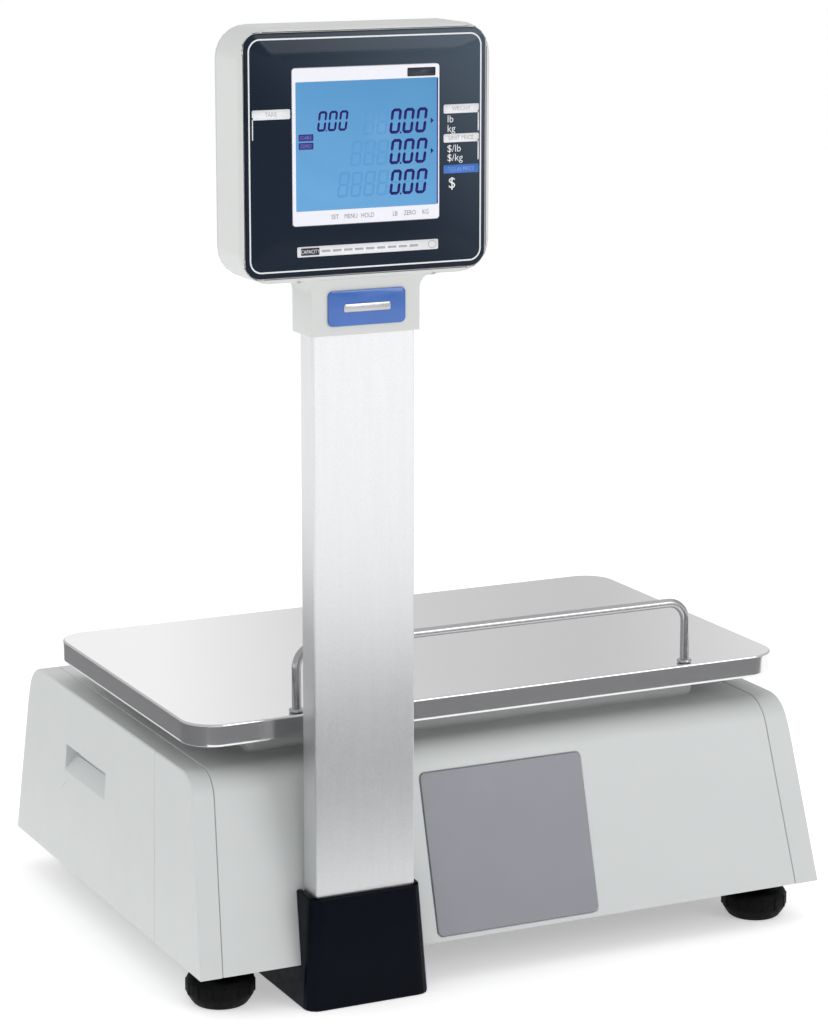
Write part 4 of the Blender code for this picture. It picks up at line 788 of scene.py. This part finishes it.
def make_casings(sizes, colours):
    refined("upper_case", "top_shell", sizes.case_edge)
    refined("printer_side_cover", "left_rear_cover", 0.0004)
    refined("printer_door", "label_door", 0.0005)
    refined("right_side_cover", "right_cover", 0.0004)
    refined("base_tray", "bottom_tray", 0.0003)
    refined("rear_blanking_plate", "blanking_plate", 0.0003)


def make_platter(sizes, colours):
    low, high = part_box("platter")
    top, bottom = high.z, low.z
    corner = 0.020
    sheet = 0.0012
    profile = [(0.0024, top - sheet), (0.0018, top - 0.0026), (0.0018, bottom + 0.0008),
               (0.0014, bottom + 0.0002)]
    profile += [(0.0008 - 0.0006 * math.sin(a), bottom + 0.0006 - 0.0006 * math.cos(a))
                for a in (math.radians(step) for step in (-30, 0, 30, 60, 90))]
    profile += [(0.0001, bottom + 0.0012), (0.0, bottom + 0.0020), (0.0, top - 0.0018)]
    profile += [(0.0013 - 0.0013 * math.cos(a), top - 0.0013 + 0.0013 * math.sin(a))
                for a in (math.radians(step) for step in (0, 18, 36, 54, 72, 90))]
    rings = []
    for inset, height in profile:
        outline = rounded(
            (low.x + inset, low.y + inset), (high.x - inset, high.y - inset), corner - inset, 14)
        rings.append([(u, v, height) for u, v in outline])
    shape = loft("steel_platter", rings)
    plate = join_in("steel_platter", shape, "platter", "polished_steel", ("platter",), 45)
    weights = plate.modifiers.new("even shading", "WEIGHTED_NORMAL")
    weights.keep_sharp = True
    make_rail(sizes.rod_radius, top)


def make_rail(radius, top):
    """Bent rod with a collar above the sheet and a nut below it on each leg."""
    low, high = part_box("guard_rail")
    middle = (low.y + high.y) / 2
    reach = 0.1285
    crown = high.z - radius
    bend = 0.012
    points = [(-reach, low.z), (-reach, top - 0.002)]
    points += [(-reach + bend + bend * math.cos(math.radians(a)),
                crown - bend + bend * math.sin(math.radians(a)))
               for a in range(180, 89, -9)]
    points += [(reach - bend + bend * math.cos(math.radians(a)),
                crown - bend + bend * math.sin(math.radians(a)))
               for a in range(90, -1, -9)]
    points += [(reach, top - 0.002), (reach, low.z)]
    rod = rod_along("rail_rod", [(x, middle, z) for x, z in points], radius, "steel_painted_darker")
    parts = [rod]
    for x in (-reach, reach):
        parts.append(turned("rail_collar", [
            (0.0001, 0.0003), (0.0041, 0.0003), (0.0045, 0.0007), (0.0045, 0.0016), (0.0041, 0.0021),
            (0.0030, 0.0024), (0.0001, 0.0024)], (x, middle, top), 32))
        parts.append(turned("rail_nut", [(0.0034, -0.0060), (0.0034, -0.0016)], (x, middle, top), 6))
    rail = joined("rail_bar", parts)
    join_in("rail_bar", rail, "platter", "steel_painted_darker", ("guard_rail",), 40)


def make_pole(sizes, colours):
    refined("pole_tube", "pole_profile", sizes.metal_edge)
    refined("pole_boot", "boot_shell", 0.0011, segments=3)
    refined("pole_bracket", "bracket_plate", 0.0003)
    for node in ("pole_screw_1", "pole_screw_2"):
        low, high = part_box(node)
        centre = ((low.x + high.x) / 2, (low.y + high.y) / 2, 0)
        head = turned("screw", [
            (0.0008, 0.0016), (0.0019, 0.0014), (0.0021, 0.0006), (0.0040, 0.0006), (0.0046, 0.0010),
            (0.0050, 0.0026),
            (0.0021, 0.0028), (0.0020, 0.0295), (0.0014, 0.0300)], centre, 32)
        join_in(node.replace("pole", "boot"), head, "base", "zinc_plate", (node,))


def make_display(sizes, colours):
    refined("display_front_case", "display_front", 0.0007, "display_plastic", 3)
    refined("display_rear_case", "display_back", 0.0005, "display_plastic")
    low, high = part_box("display_window")
    face = DISPLAY_FACE
    screen_low, screen_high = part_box("customer_lcd")
    hole = 0.0003
    outer = [rounded((low.x + inset, low.z + inset), (high.x - inset, high.z - inset), 0.0083 - inset, 10)
             for inset in (0.0, 0.0, 0.0002, 0.0005)]
    inner = rounded(
        (screen_low.x - hole, screen_low.z - hole), (screen_high.x + hole, screen_high.z + hole),
        0.0020, 10)
    rings = [face.ring(outer[0], -0.0015), face.ring(outer[1], -0.0004), face.ring(outer[2], -0.0001),
             face.ring(outer[3], 0.0), face.ring(inner, 0.0), face.ring(inner, -0.0015)]
    join_in("window_plate", loft("window_plate", rings, wrap=True), "base", "navy_window",
            ("display_window",), 50)
    make_screen_stack(screen_low, screen_high)
    make_display_prints(low, high)
    make_badge()


ON_WINDOW = 0.00002
ON_PRINT = 0.00007
ON_TAG = 0.00012
ON_SURROUND = -0.00018


def make_screen_stack(low, high):
    """Lit panel behind the window: a white surround and a blue field with its digits."""
    face = DISPLAY_FACE
    outlines = [rounded((low.x + inset, low.z + inset), (high.x - inset, high.z - inset), 0.0018, 6)
                for inset in (0.0, 0.0, 0.0002)]
    rings = [face.ring(outlines[0], -(high.y - face.at(0, 0).y)), face.ring(outlines[1], -0.0004),
             face.ring(outlines[2], -0.0002)]
    surround = loft("screen_surround", rings)
    join_in("screen_surround", surround, "base", "lit_surround", ("customer_lcd",))
    field = (low.x + 0.0021, low.z + 0.0080, high.x - 0.0017, high.z - 0.0075)
    lit = rounded(field[:2], field[2:], 0.0003, 3)
    printed("screen_field", face, ON_SURROUND, [lit], "customer_screen", ink=0.00008)
    # Painted shade: a dark violet line along the lit field's right edge stands for the shade there.
    edge = strip(field[2], field[1] + 0.0003, field[2] + 0.0008, field[3] - 0.0003)
    printed("screen_field_shade_line", face, ON_SURROUND, [edge], "violet_ink_and_shade", ink=0.00006)
    dark = []
    faint = []
    rows = (0.4977, 0.4811, 0.4644)
    right = -0.0690
    for v, places in zip(rows, (5, 6, 7)):
        dark += number("0.00", right, v, 0.0137, 0.00165)
        faint += number("8" * places, right, v, 0.0137, 0.00120)
    dark += number("0.00", -0.1166, 0.5006, 0.0110, 0.00130)
    for v in (0.5040, 0.4875):
        dark.append([(-0.0674, v - 0.0016), (-0.0656, v), (-0.0674, v + 0.0016)])
    printed("screen_digits", face, -0.00004, dark, "segment_dark", ink=0.00003)
    printed("screen_unlit_digits", face, -0.00009, faint, "segment_faint", ink=0.00002)
    tags = [rounded((-0.1463, v), (-0.1376, v + 0.0037), 0.0004, 3) for v in (0.4958, 0.4913)]
    printed("screen_tags", face, -0.00009, tags, "violet_ink_and_shade", ink=0.00003)
    words = lettering("STABLE", 0.0027, -0.1420, 0.4977, squeeze=0.75)
    words += lettering("ZERO", 0.0027, -0.1420, 0.4932)
    printed("screen_tag_words", face, -0.00005, words, "tag_ink", ink=0.00002)


def make_display_prints(low, high):
    """White, blue and dark print on the window and round the lit field."""
    face = DISPLAY_FACE
    white = line_frame(
        (low.x + 0.0021, low.z + 0.0026), (high.x - 0.0021, high.z - 0.0026), 0.0070, 0.00085, 10)
    white.append(rounded((-0.1734, 0.5082), (-0.1512, 0.5135), 0.0008, 3))
    white.append(strip(-0.1734, 0.4975, -0.1728, 0.5095))
    for bottom, top in ((0.5074, 0.5123), (0.4915, 0.4962)):
        white.append(rounded((-0.0596, bottom), (-0.0380, top), 0.0008, 3))
        white.append(strip(-0.0387, bottom - 0.0100, -0.0380, bottom + 0.0012))
    for words, u, v, size in (
            ("lb", -0.0575, 0.5042, 0.0056), ("kg", -0.0575, 0.4990, 0.0056),
            ("$/lb", -0.0575, 0.4880, 0.0056),
            ("$/kg", -0.0575, 0.4830, 0.0056), ("$", -0.0568, 0.4690, 0.0086)):
        white += lettering(words, size, u, v, "LEFT")
    white.append(rounded((-0.1476, 0.4332), (-0.0629, 0.4388), 0.0007, 3))
    printed("window_white_print", face, ON_WINDOW, white, "white_ink")
    printed("window_blue_print", face, ON_WINDOW,
            [rounded((-0.0596, 0.4745), (-0.0380, 0.4792), 0.0006, 3)],
            "blue_ink")
    dark = []
    for words, u, v in (("TARE", -0.1625, 0.5108), ("WEIGHT", -0.0489, 0.5098),
                        ("UNIT PRICE", -0.0489, 0.4938)):
        dark += lettering(words, 0.0033, u, v, squeeze=0.9)
    for step in range(9):
        left = -0.1330 + step * 0.0066
        dark.append(strip(left, 0.4353, left + 0.0050, 0.4365))
    dark += line_frame((-0.0690, 0.4339), (-0.0640, 0.4381), 0.0020, 0.0003, 5)
    printed("window_grey_print", face, ON_PRINT, dark, "faint_ink")
    printed("window_dark_print", face, ON_PRINT, [rounded((-0.1454, 0.4340), (-0.1345, 0.4380), 0.0005, 3)],
            "dark_ink")
    printed("window_tag_words", face, ON_TAG, lettering("CAPACITY", 0.0029, -0.1399, 0.4359, squeeze=0.82),
            "white_ink")
    printed("window_blue_words", face, ON_PRINT,
            lettering("TOTAL PRICE", 0.0032, -0.0489, 0.4767, squeeze=0.85),
            "pale_blue_ink")
    printed("screen_surround_pill", face, ON_SURROUND,
            [rounded((-0.0815, 0.5284), (-0.0645, 0.5331), 0.0006, 3)],
            "dark_ink")
    small = []
    for left, words in ((-0.1250, "SET"), (-0.1155, "MENU"), (-0.1055, "HOLD"), (-0.0890, "LB"),
                        (-0.0800, "ZERO"),
                        (-0.0705, "KG")):
        small += lettering(words, 0.0036, left, 0.4540, squeeze=0.8)
    printed("screen_surround_print", face, ON_SURROUND, small, "grey_ink")


def make_badge():
    """Blank enamelled badge with one plain silver bar."""
    low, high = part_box("badge")
    face = Face((0, low.y, 0), (1, 0, 0), (0, 0, 1))
    thick = high.y - low.y
    rings = []
    for inset, w in ((0.0, -thick), (0.0, -0.0003), (0.00012, -0.0001), (0.0004, 0.0)):
        rings.append(inset_ring(face, (low.x, low.z), (high.x, high.z), 0.003 - inset, inset, w, 8))
    join_in("badge_plate", loft("badge_plate", rings), "base", "badge_enamel", ("badge",), 50)
    middle = (low.z + high.z) / 2
    centre = (low.x + high.x) / 2
    rings = []
    for inset, w in ((0.0, 0.0), (0.0, 0.00025), (0.0003, 0.0004)):
        rings.append(inset_ring(face, (centre - 0.0140, middle - 0.0022),
                                (centre + 0.0140, middle + 0.0022),
                                0.0010, inset, w, 5))
    join_in("badge_bar", loft("badge_bar", rings), "base", "steel_painted_darker", (), 50)


KEY_LEGENDS = {"key_clear": "C", "key_print": "P"}


def make_operator_side(sizes, colours):
    refined("operator_panel", "keypad_panel", 0.0002)
    refined("tear_bar", "label_slot", 0.0004)
    face = OPERATOR_FACE
    for node in sorted(name for name in frame["nodes"] if name.startswith("key_") and name != "key_board"):
        make_key(node, face)
    make_preset_sheet(sizes, face)
    make_operator_screen(face)
    make_level()


def make_key(node, face):
    low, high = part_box(node)
    middle = face.matrix.inverted() @ ((low + high) / 2)
    u, v = middle.x, middle.y
    half = 0.008
    rings = []
    for inset, w in ((0.0, -0.0045), (0.0, 0.0010), (0.0003, 0.0017), (0.0009, 0.0021), (0.0016, 0.0022),
                     (0.0030, 0.0020), (0.0052, 0.00185)):
        rings.append(inset_ring(face, (u - half, v - half), (u + half, v + half),
                                max(0.0004, 0.0012 - inset * 0.2), inset, w, 4))
    body = NODE_BODIES[node]
    join_in(node + "_cap", loft(node + "_cap", rings), body, "key_plastic", (node,), 60)
    words = KEY_LEGENDS.get(node, node.split("_")[1])
    printed(node + "_legend", face, 0.00186, lettering(words, 0.0085, u, v), "dark_ink", body)


def make_preset_sheet(sizes, face):
    """Film with rows of pillowed keys, each with its number and a blank paper window."""
    low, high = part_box("preset_key_sheet")
    left, right = -high.x, -low.x
    bottom, top = 0.0135, 0.0665
    rings = []
    for inset, w in ((0.0, 0.0009), (0.0, 0.0013), (0.0002, 0.0014)):
        rings.append(inset_ring(face, (left, bottom), (right, top), 0.003, inset, w, 6))
    join_in("preset_film", loft("preset_film", rings), "base", "overlay_film",
            ("preset_key_sheet",), 50)
    columns, rows = sizes.preset_columns, sizes.preset_rows
    pitch_u = (right - left - 0.004) / columns
    pitch_v = (top - bottom - 0.003) / rows
    half_u, half_v = pitch_u / 2 - 0.0010, pitch_v / 2 - 0.0010
    rings = []
    for inset, w in ((0.0, 0.0), (0.0001, 0.0002), (0.0005, 0.00035), (0.0012, 0.0004)):
        outline = rounded((-half_u + inset, -half_v + inset), (half_u - inset, half_v - inset),
                          0.0020 - inset, 4)
        rings.append([(a, b, w) for a, b in outline])
    mesh = run_recipe(grid_recipe(), loft("preset_key", rings), "preset_keys", Columns=columns, Rows=rows,
                      Across=pitch_u * (columns - 1), Up=pitch_v * (rows - 1),
                      Material=FINISHES["key_plastic"])
    centre_u, centre_v = (left + right) / 2, (bottom + top) / 2
    placed(mesh, face.matrix @ Matrix.Translation((centre_u, centre_v, 0.0014)))
    join_in("preset_keys", mesh, "base", "key_plastic", (), 60)
    numbers = []
    papers = []
    for row in range(rows):
        for column in range(columns):
            u = centre_u + pitch_u * (column - (columns - 1) / 2)
            v = centre_v - pitch_v * (row - (rows - 1) / 2)
            label = str(row * columns + column + 1)
            numbers += lettering(label, 0.0034, u - half_u + 0.0032, v + half_v - 0.0030)
            papers.append(rounded((u - half_u + 0.0016, v - half_v + 0.0016),
                                  (u + half_u - 0.0016, v + 0.0018),
                                  0.0006, 3))
    printed("preset_numbers", face, 0.00181, numbers, "dark_ink")
    printed("preset_papers", face, 0.00181, papers, "white_ink")


def make_operator_screen(face):
    low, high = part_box("operator_lcd")
    left, right = -high.x, -low.x
    digits = []
    ghosts = []
    third = (right - left) / 3
    for column in range(3):
        edge = left + third * (column + 1) - 0.004
        digits += number("0.00", edge, 0.0748, 0.0095, 0.0010)
        ghosts += number("88888", edge, 0.0748, 0.0095, 0.0009)
    printed("operator_digits", face, -0.00325, digits, "segment_dark", ink=0.00003)
    printed("operator_unlit_digits", face, -0.00329, ghosts, "segment_faint", ink=0.00002)
    words = []
    for column, name in enumerate(("kg", "$/kg", "$")):
        words += lettering(name, 0.0042, left + third * (column + 0.5), 0.0915)
    printed("operator_words", face, 0.0006, words, "dark_ink")


def make_level():
    """Round spirit level: a ring, the green vial, its bubble and the circle round it."""
    low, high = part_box("bubble_level")
    centre = ((low.x + high.x) / 2, (low.y + high.y) / 2, low.z)
    tall = high.z - low.z
    vial = turned("level_vial_body", [
        (0.0080, 0.0), (0.0082, 0.0004), (0.0082, tall - 0.0012), (0.0070, tall - 0.0005),
        (0.0040, tall - 0.0002),
        (0.0008, tall - 0.0001)], centre, 40)
    join_in("level_vial_body", vial, "base", "level_vial", ("bubble_level",), 50)
    rings = [(0.0083, 0.0010), (0.0089, 0.0010), (0.0089, tall - 0.0003), (0.0087, tall), (0.0084, tall),
             (0.0083, tall - 0.0003)]
    loops = [ring_at(centre, radius, height, 40) for radius, height in rings]
    ring = loft("level_ring", loops, wrap=True)
    join_in("level_ring", ring, "base", "boot_plastic", (), 50)
    top = Face((centre[0], centre[1], centre[2] + tall - 0.0001), (1, 0, 0), (0, 1, 0))
    circle = band(disc(0, 0, 0.0034), disc(0, 0, 0.0031))
    printed("level_circle", top, 0.00002, circle, "dark_ink")
    printed("level_bubble", top, 0.00001, [disc(0.0003, -0.0002, 0.0021)], "white_ink")


def make_sockets(sizes, colours):
    face = SOCKET_FACE
    refined("mains_inlet", "mains_socket", 0.0003)
    refined("socket_plate", "socket_panel", 0.0003)
    refined("power_rocker", "rocker_key", 0.0004)
    pins = []
    for offset_u, offset_v in ((-0.007, -0.002), (0.0, 0.002), (0.007, -0.002)):
        place = (-0.112 + offset_u, 0.0310 + offset_v, -0.0179)
        pins.append(post_on(face, 0.00112, 0.00212, 0.0140, 0.0004, place))
    join_in("inlet_contacts", joined("inlet_contacts", pins), "base", "zinc_plate")
    contacts = []
    for start, count, step, up in ((-0.0496, 8, 0.0015, 0.0355), (-0.0264, 4, 0.0028, 0.0315)):
        for index in range(count):
            place = (start + index * step, up, -0.0125)
            contacts.append(post_on(face, 0.0003, 0.00035, 0.0085, 0.0001, place))
    for row, count in ((0.0328, 5), (0.0292, 4)):
        for index in range(count):
            place = (0.008 + (index - (count - 1) / 2) * 0.0028, row, -0.0125)
            contacts.append(post_on(face, 0.0005, 0.0005, 0.0090, 0.00015, place))
    join_in("socket_contacts", joined("socket_contacts", contacts), "base", "contact_gold")
    tongue = post_on(face, 0.0055, 0.0008, 0.0095, 0.0002, (-0.022, 0.0325, -0.0125))
    join_in("memory_tongue", tongue, "base", "white_ink")
    screws = []
    for u in (-0.0075, 0.0235):
        screw = turned("jack_screw", [(0.0023, 0.0), (0.0023, 0.0016), (0.0020, 0.0020)], (0, 0, 0), 6)
        screws.append(placed(screw, face.matrix @ Matrix.Translation((u, 0.0310, 0.0))))
    join_in("jack_screws", joined("jack_screws", screws), "base", "zinc_plate")
    marks = [strip(-0.0803, 0.0352, -0.0797, 0.0382)]
    marks += band(disc(-0.080, 0.0258, 0.0016), disc(-0.080, 0.0258, 0.0012))
    rocker = Face(face.at(0, 0, 0.00045), (0, 1, 0), face.matrix.to_3x3() @ Vector((0, 1, 0)))
    printed("rocker_marks", rocker, 0.0, marks, "white_ink", "power_rocker")


def make_feet(sizes, colours):
    for end in ("rear", "front"):
        for side in ("left", "right"):
            node = "foot_%s_%s" % (end, side)
            low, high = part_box(node)
            centre = ((low.x + high.x) / 2, (low.y + high.y) / 2, low.z)
            profile = [
                (0.0150, 0.0), (0.0160, 0.0008), (0.0176, 0.0030), (0.0192, 0.0056), (0.0198, 0.0072),
                (0.0198, 0.0136), (0.0194, 0.0150), (0.0185, 0.0164), (0.0170, 0.0174), (0.0120, 0.0178)]
            base = turned("foot_pad", profile, centre, 64)
            rib = block((-0.0010, -0.0014, 0.0), (0.0005, 0.0014, 0.0074), 0.0003)
            ribs = run_recipe(round_recipe(), rib, "foot_ribs", Count=sizes.foot_ribs, Radius=0.0197,
                              Material=FINISHES["rubber"])
            placed(ribs, Matrix.Translation((centre[0], centre[1], centre[2] + 0.0067)))
            nut = turned("foot_nut", [
                (0.0094, 0.0176), (0.0100, 0.0180), (0.0100, 0.0219), (0.0094, 0.0225)], centre, 6)
            stud = turned("foot_stud", [(0.0040, 0.0220), (0.0040, 0.0262), (0.0034, 0.0268)], centre, 24)
            rubber = joined("foot_rubber", [base, ribs, nut, stud])
            join_in(node + "_ribbed", rubber, NODE_BODIES[node], "rubber", (node,), 35)


def make_printer(sizes, colours):
    """Label path inside the side door."""
    refined("printer_frame", "printer_chassis", 0.0002)
    refined("take_up_spool", "liner_spool", 0.0002)
    refined("thermal_head", "print_head", 0.0003)
    refined("head_lever", "release_lever", 0.0004)
    refined("stepper_motor", "feed_motor", 0.0003)
    low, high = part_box("label_roll")
    axis = ((low.y + high.y) / 2, (low.z + high.z) / 2)
    radius = (high.y - low.y) / 2
    reach = 0.131
    away = math.atan2(0.07235 - axis[1], reach - axis[0])
    touch = away + math.acos(radius / math.hypot(reach - axis[0], 0.07235 - axis[1]))
    points = [(axis[0] + radius * math.cos(a), axis[1] + radius * math.sin(a))
              for a in (touch + 0.5 - 0.1 * step for step in range(6))]
    points += [(reach, 0.07235), (0.140, 0.07220), (0.150, 0.0716), (0.1595, 0.0706), (0.1655, 0.0694)]
    web = []
    for y, z in points:
        web.append([(low.x + 0.001, y, z), (high.x - 0.001, y, z), (high.x - 0.001, y, z + 0.00012),
                    (low.x + 0.001, y, z + 0.00012)])
    join_in("label_web", loft("label_web", web), "base", "label_paper", (), 30)


def make_works(sizes, colours):
    """Chips on the boards and covers on the load cell."""
    refined("load_cell", "weighing_bar", 0.0003)
    refined("platform", "platter_spider", 0.0006)
    refined("power_supply", "supply_can", 0.0003)
    low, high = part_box("load_cell")
    gel = [
        block(
            (x - 0.008, low.y + 0.004, high.z - 0.0001), (x + 0.008, high.y - 0.004, high.z + 0.0003), 0.0001)
        for x in (-0.018, 0.014)]
    join_in("gauge_covers", joined("gauge_covers", gel), "base", "label_paper")
    low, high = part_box("main_board")
    chip = block((-0.0035, -0.0025, 0.0), (0.0035, 0.0025, 0.0014), 0.0002)
    mesh = run_recipe(grid_recipe(), chip, "board_chips", Columns=5, Rows=7, Across=0.058, Up=0.086,
                      Material=FINISHES["chip_resin"])
    placed(mesh, Matrix.Translation(((low.x + high.x) / 2, (low.y + high.y) / 2, 0.0361)))
    join_in("board_chips", mesh, "base", "chip_resin")


CAMERA_PLACE = (-0.844, -1.763, 0.671)
CAMERA_TILT = math.radians(12.26)
CAMERA_SWING = math.radians(-25.62)
CAMERA_LENS = 113.9
FLOOR_HALF = 40
FLAG_TOP = 0.13
LEFT_FLAG_TOP = 0.16
# Brightness of the surroundings from left to right: place, red and green together, and blue.
SKY_STOPS = (
    (0.0, 0.60, 0.605), (0.62, 0.62, 0.625), (0.645, 1.00, 1.005), (0.672, 1.08, 1.08), (0.70, 0.74, 0.745),
    (0.735, 0.64, 0.645), (0.765, 0.92, 0.92), (0.80, 0.80, 0.80), (0.86, 0.60, 0.605),
)


def softbox(name, place, aim, size, power, mirrored=True):
    """Area light; one that isn't mirrored lights the scale but doesn't show in its steel."""
    light = bpy.data.lights.new(name, "AREA")
    light.shape = "RECTANGLE"
    light.size, light.size_y = size
    light.energy = power
    lamp = bpy.data.objects.new(name, light)
    lamp.location = place
    lamp.rotation_euler = (Vector(aim) - Vector(place)).to_track_quat("-Z", "Y").to_euler()
    lamp.visible_glossy = mirrored
    bpy.context.scene.collection.objects.link(lamp)


def flag(name, outline):
    """Dark card beside the set, seen only in reflections."""
    card = bpy.data.meshes.new(name)
    card.from_pydata(outline, [], [(0, 1, 2, 3)])
    if "flag_card" not in FINISHES:
        Finish("flag_card", (0.24, 0.24, 0.245, 1), 0.9)
    card.materials.append(FINISHES["flag_card"])
    obj = bpy.data.objects.new(name, card)
    bpy.context.scene.collection.objects.link(obj)
    for kind in ("visible_camera", "visible_diffuse", "visible_shadow"):
        setattr(obj, kind, False)


def make_stage(sizes, colours):
    scene = bpy.context.scene
    scene.view_settings.view_transform = "Standard"
    camera = bpy.data.cameras.new("product_camera")
    camera.sensor_fit = "VERTICAL"
    camera.sensor_height = 36.0
    camera.lens = CAMERA_LENS
    viewer = bpy.data.objects.new("product_camera", camera)
    viewer.location = CAMERA_PLACE
    viewer.rotation_euler = (math.pi / 2 - CAMERA_TILT, 0, CAMERA_SWING)
    scene.collection.objects.link(viewer)
    scene.camera = viewer
    floor = bpy.data.meshes.new("studio_floor")
    outline = [(u, v, 0) for u, v in strip(-FLOOR_HALF, -FLOOR_HALF, FLOOR_HALF, FLOOR_HALF)]
    floor.from_pydata(outline, [], [(0, 1, 2, 3)])
    paint = Finish("studio_paint", (0.86, 0.86, 0.86, 1), 0.9, constants={
        "Emission Color": (1.0, 1.0, 1.0, 1), "Emission Strength": 0.42})
    paint.tones(paint.noise(1.5, 2.0), 0.995, 1.005)
    floor.materials.append(paint.material)
    ground = bpy.data.objects.new("studio_floor", floor)
    scene.collection.objects.link(ground)
    flag("front_flag", [(u, -0.40, v) for u, v in strip(-0.6, 0.0, 0.8, FLAG_TOP)])
    flag("left_flag", [(-0.30, u, v) for u, v in strip(-0.25, 0.0, 0.60, LEFT_FLAG_TOP)])
    softbox("left_softbox", (-2.2, 0.3, 1.3), (0, 0, 0.15), (1.6, 1.8), 13, mirrored=False)
    softbox("top_softbox", (0.1, 0.3, 2.4), (0, 0, 0.1), (2.6, 2.2), 9, mirrored=False)
    softbox("camera_softbox", (-0.4, -2.8, 1.6), (0, 0, 0.3), (1.8, 1.2), 2)
    softbox("upper_softbox", (0.9, -1.9, 1.1), (0, 0, 0.4), (1.1, 0.9), 8)
    world = bpy.data.worlds.new("studio_world")
    scene.world = world
    world.use_nodes = True
    graph = Graph(world.node_tree)
    background = world.node_tree.nodes["Background"]
    way = graph.node("ShaderNodeTexCoord", output="Generated")
    apart = graph.node("ShaderNodeSeparateXYZ", {}, {0: way})
    stops = [(place, (grey, grey, blue, 1)) for place, grey, blue in SKY_STOPS]
    ramp = graph.node("ShaderNodeValToRGB", {"stops": stops}, {"Fac": apart.out("X") * 0.5 + 0.5})
    graph.feed(background.inputs["Color"], ramp)
    background.inputs["Strength"].default_value = 1.0


class Build:
    """What every operator of this add-on shares: it passes the user's sizes and colours to its maker."""
    bl_options = {"REGISTER"}

    def execute(self, context):
        type(self).build(context.scene.price_scale_sizes, context.scene.price_scale_colours)
        return {"FINISHED"}


class PRICESCALE_OT_finishes(Build, Operator):
    """Make every finish and put one on each part"""
    bl_idname = "price_scale.finishes"
    bl_label = "Finishes"
    build = staticmethod(make_finishes)


class PRICESCALE_OT_casings(Build, Operator):
    """Soften the edges of the moulded body"""
    bl_idname = "price_scale.casings"
    bl_label = "Body casings"
    build = staticmethod(make_casings)


class PRICESCALE_OT_platter(Build, Operator):
    """Build the steel platter and its guard rail"""
    bl_idname = "price_scale.platter"
    bl_label = "Platter and rail"
    build = staticmethod(make_platter)


class PRICESCALE_OT_pole(Build, Operator):
    """Finish the pole, its boot, bracket and screws"""
    bl_idname = "price_scale.pole"
    bl_label = "Pole and boot"
    build = staticmethod(make_pole)


class PRICESCALE_OT_display(Build, Operator):
    """Build the customer display, its screen and its prints"""
    bl_idname = "price_scale.display"
    bl_label = "Customer display"
    build = staticmethod(make_display)


class PRICESCALE_OT_operator_side(Build, Operator):
    """Build the keypad, preset keys, operator screen, label slot and level"""
    bl_idname = "price_scale.operator_side"
    bl_label = "Operator side"
    build = staticmethod(make_operator_side)


class PRICESCALE_OT_sockets(Build, Operator):
    """Build the inlet, switch and sockets on the right side"""
    bl_idname = "price_scale.sockets"
    bl_label = "Sockets and switch"
    build = staticmethod(make_sockets)


class PRICESCALE_OT_feet(Build, Operator):
    """Build the four ribbed levelling feet"""
    bl_idname = "price_scale.feet"
    bl_label = "Feet"
    build = staticmethod(make_feet)


class PRICESCALE_OT_printer(Build, Operator):
    """Finish the label printer and thread its paper"""
    bl_idname = "price_scale.printer"
    bl_label = "Label printer"
    build = staticmethod(make_printer)


class PRICESCALE_OT_works(Build, Operator):
    """Finish the weighing parts and the boards"""
    bl_idname = "price_scale.works"
    bl_label = "Weighing parts and boards"
    build = staticmethod(make_works)


class PRICESCALE_OT_stage(Build, Operator):
    """Set the floor, lights and camera"""
    bl_idname = "price_scale.stage"
    bl_label = "Studio stage"
    build = staticmethod(make_stage)


STEPS = (
    PRICESCALE_OT_finishes, PRICESCALE_OT_casings, PRICESCALE_OT_platter, PRICESCALE_OT_pole,
    PRICESCALE_OT_display, PRICESCALE_OT_operator_side, PRICESCALE_OT_sockets, PRICESCALE_OT_feet,
    PRICESCALE_OT_printer, PRICESCALE_OT_works, PRICESCALE_OT_stage,
)


class PRICESCALE_PT_panel(Panel):
    bl_idname = "PRICESCALE_PT_panel"
    bl_label = "Price scale"
    bl_space_type = "VIEW_3D"
    bl_region_type = "UI"
    bl_category = "Price scale"

    def draw(self, context):
        layout = self.layout
        for step in STEPS:
            layout.operator(step.bl_idname)
        for group in (context.scene.price_scale_sizes, context.scene.price_scale_colours):
            box = layout.box()
            for name in group.bl_rna.properties.keys():
                if name not in ("rna_type", "name"):
                    box.prop(group, name)


CLASSES = (PriceScaleSizes, PriceScaleColours, *STEPS, PRICESCALE_PT_panel)


def register():
    for entry in CLASSES:
        bpy.utils.register_class(entry)
    bpy.types.Scene.price_scale_sizes = PointerProperty(type=PriceScaleSizes)
    bpy.types.Scene.price_scale_colours = PointerProperty(type=PriceScaleColours)


def unregister():
    del bpy.types.Scene.price_scale_sizes
    del bpy.types.Scene.price_scale_colours
    for entry in reversed(CLASSES):
        bpy.utils.unregister_class(entry)


def corners(bounds):
    return [[float(value) for value in corner] for corner in bounds]


def main():
    register()
    for step in STEPS:
        family, name = step.bl_idname.split(".")
        getattr(getattr(bpy.ops, family), name)()


if __name__ == "__main__":
    main()
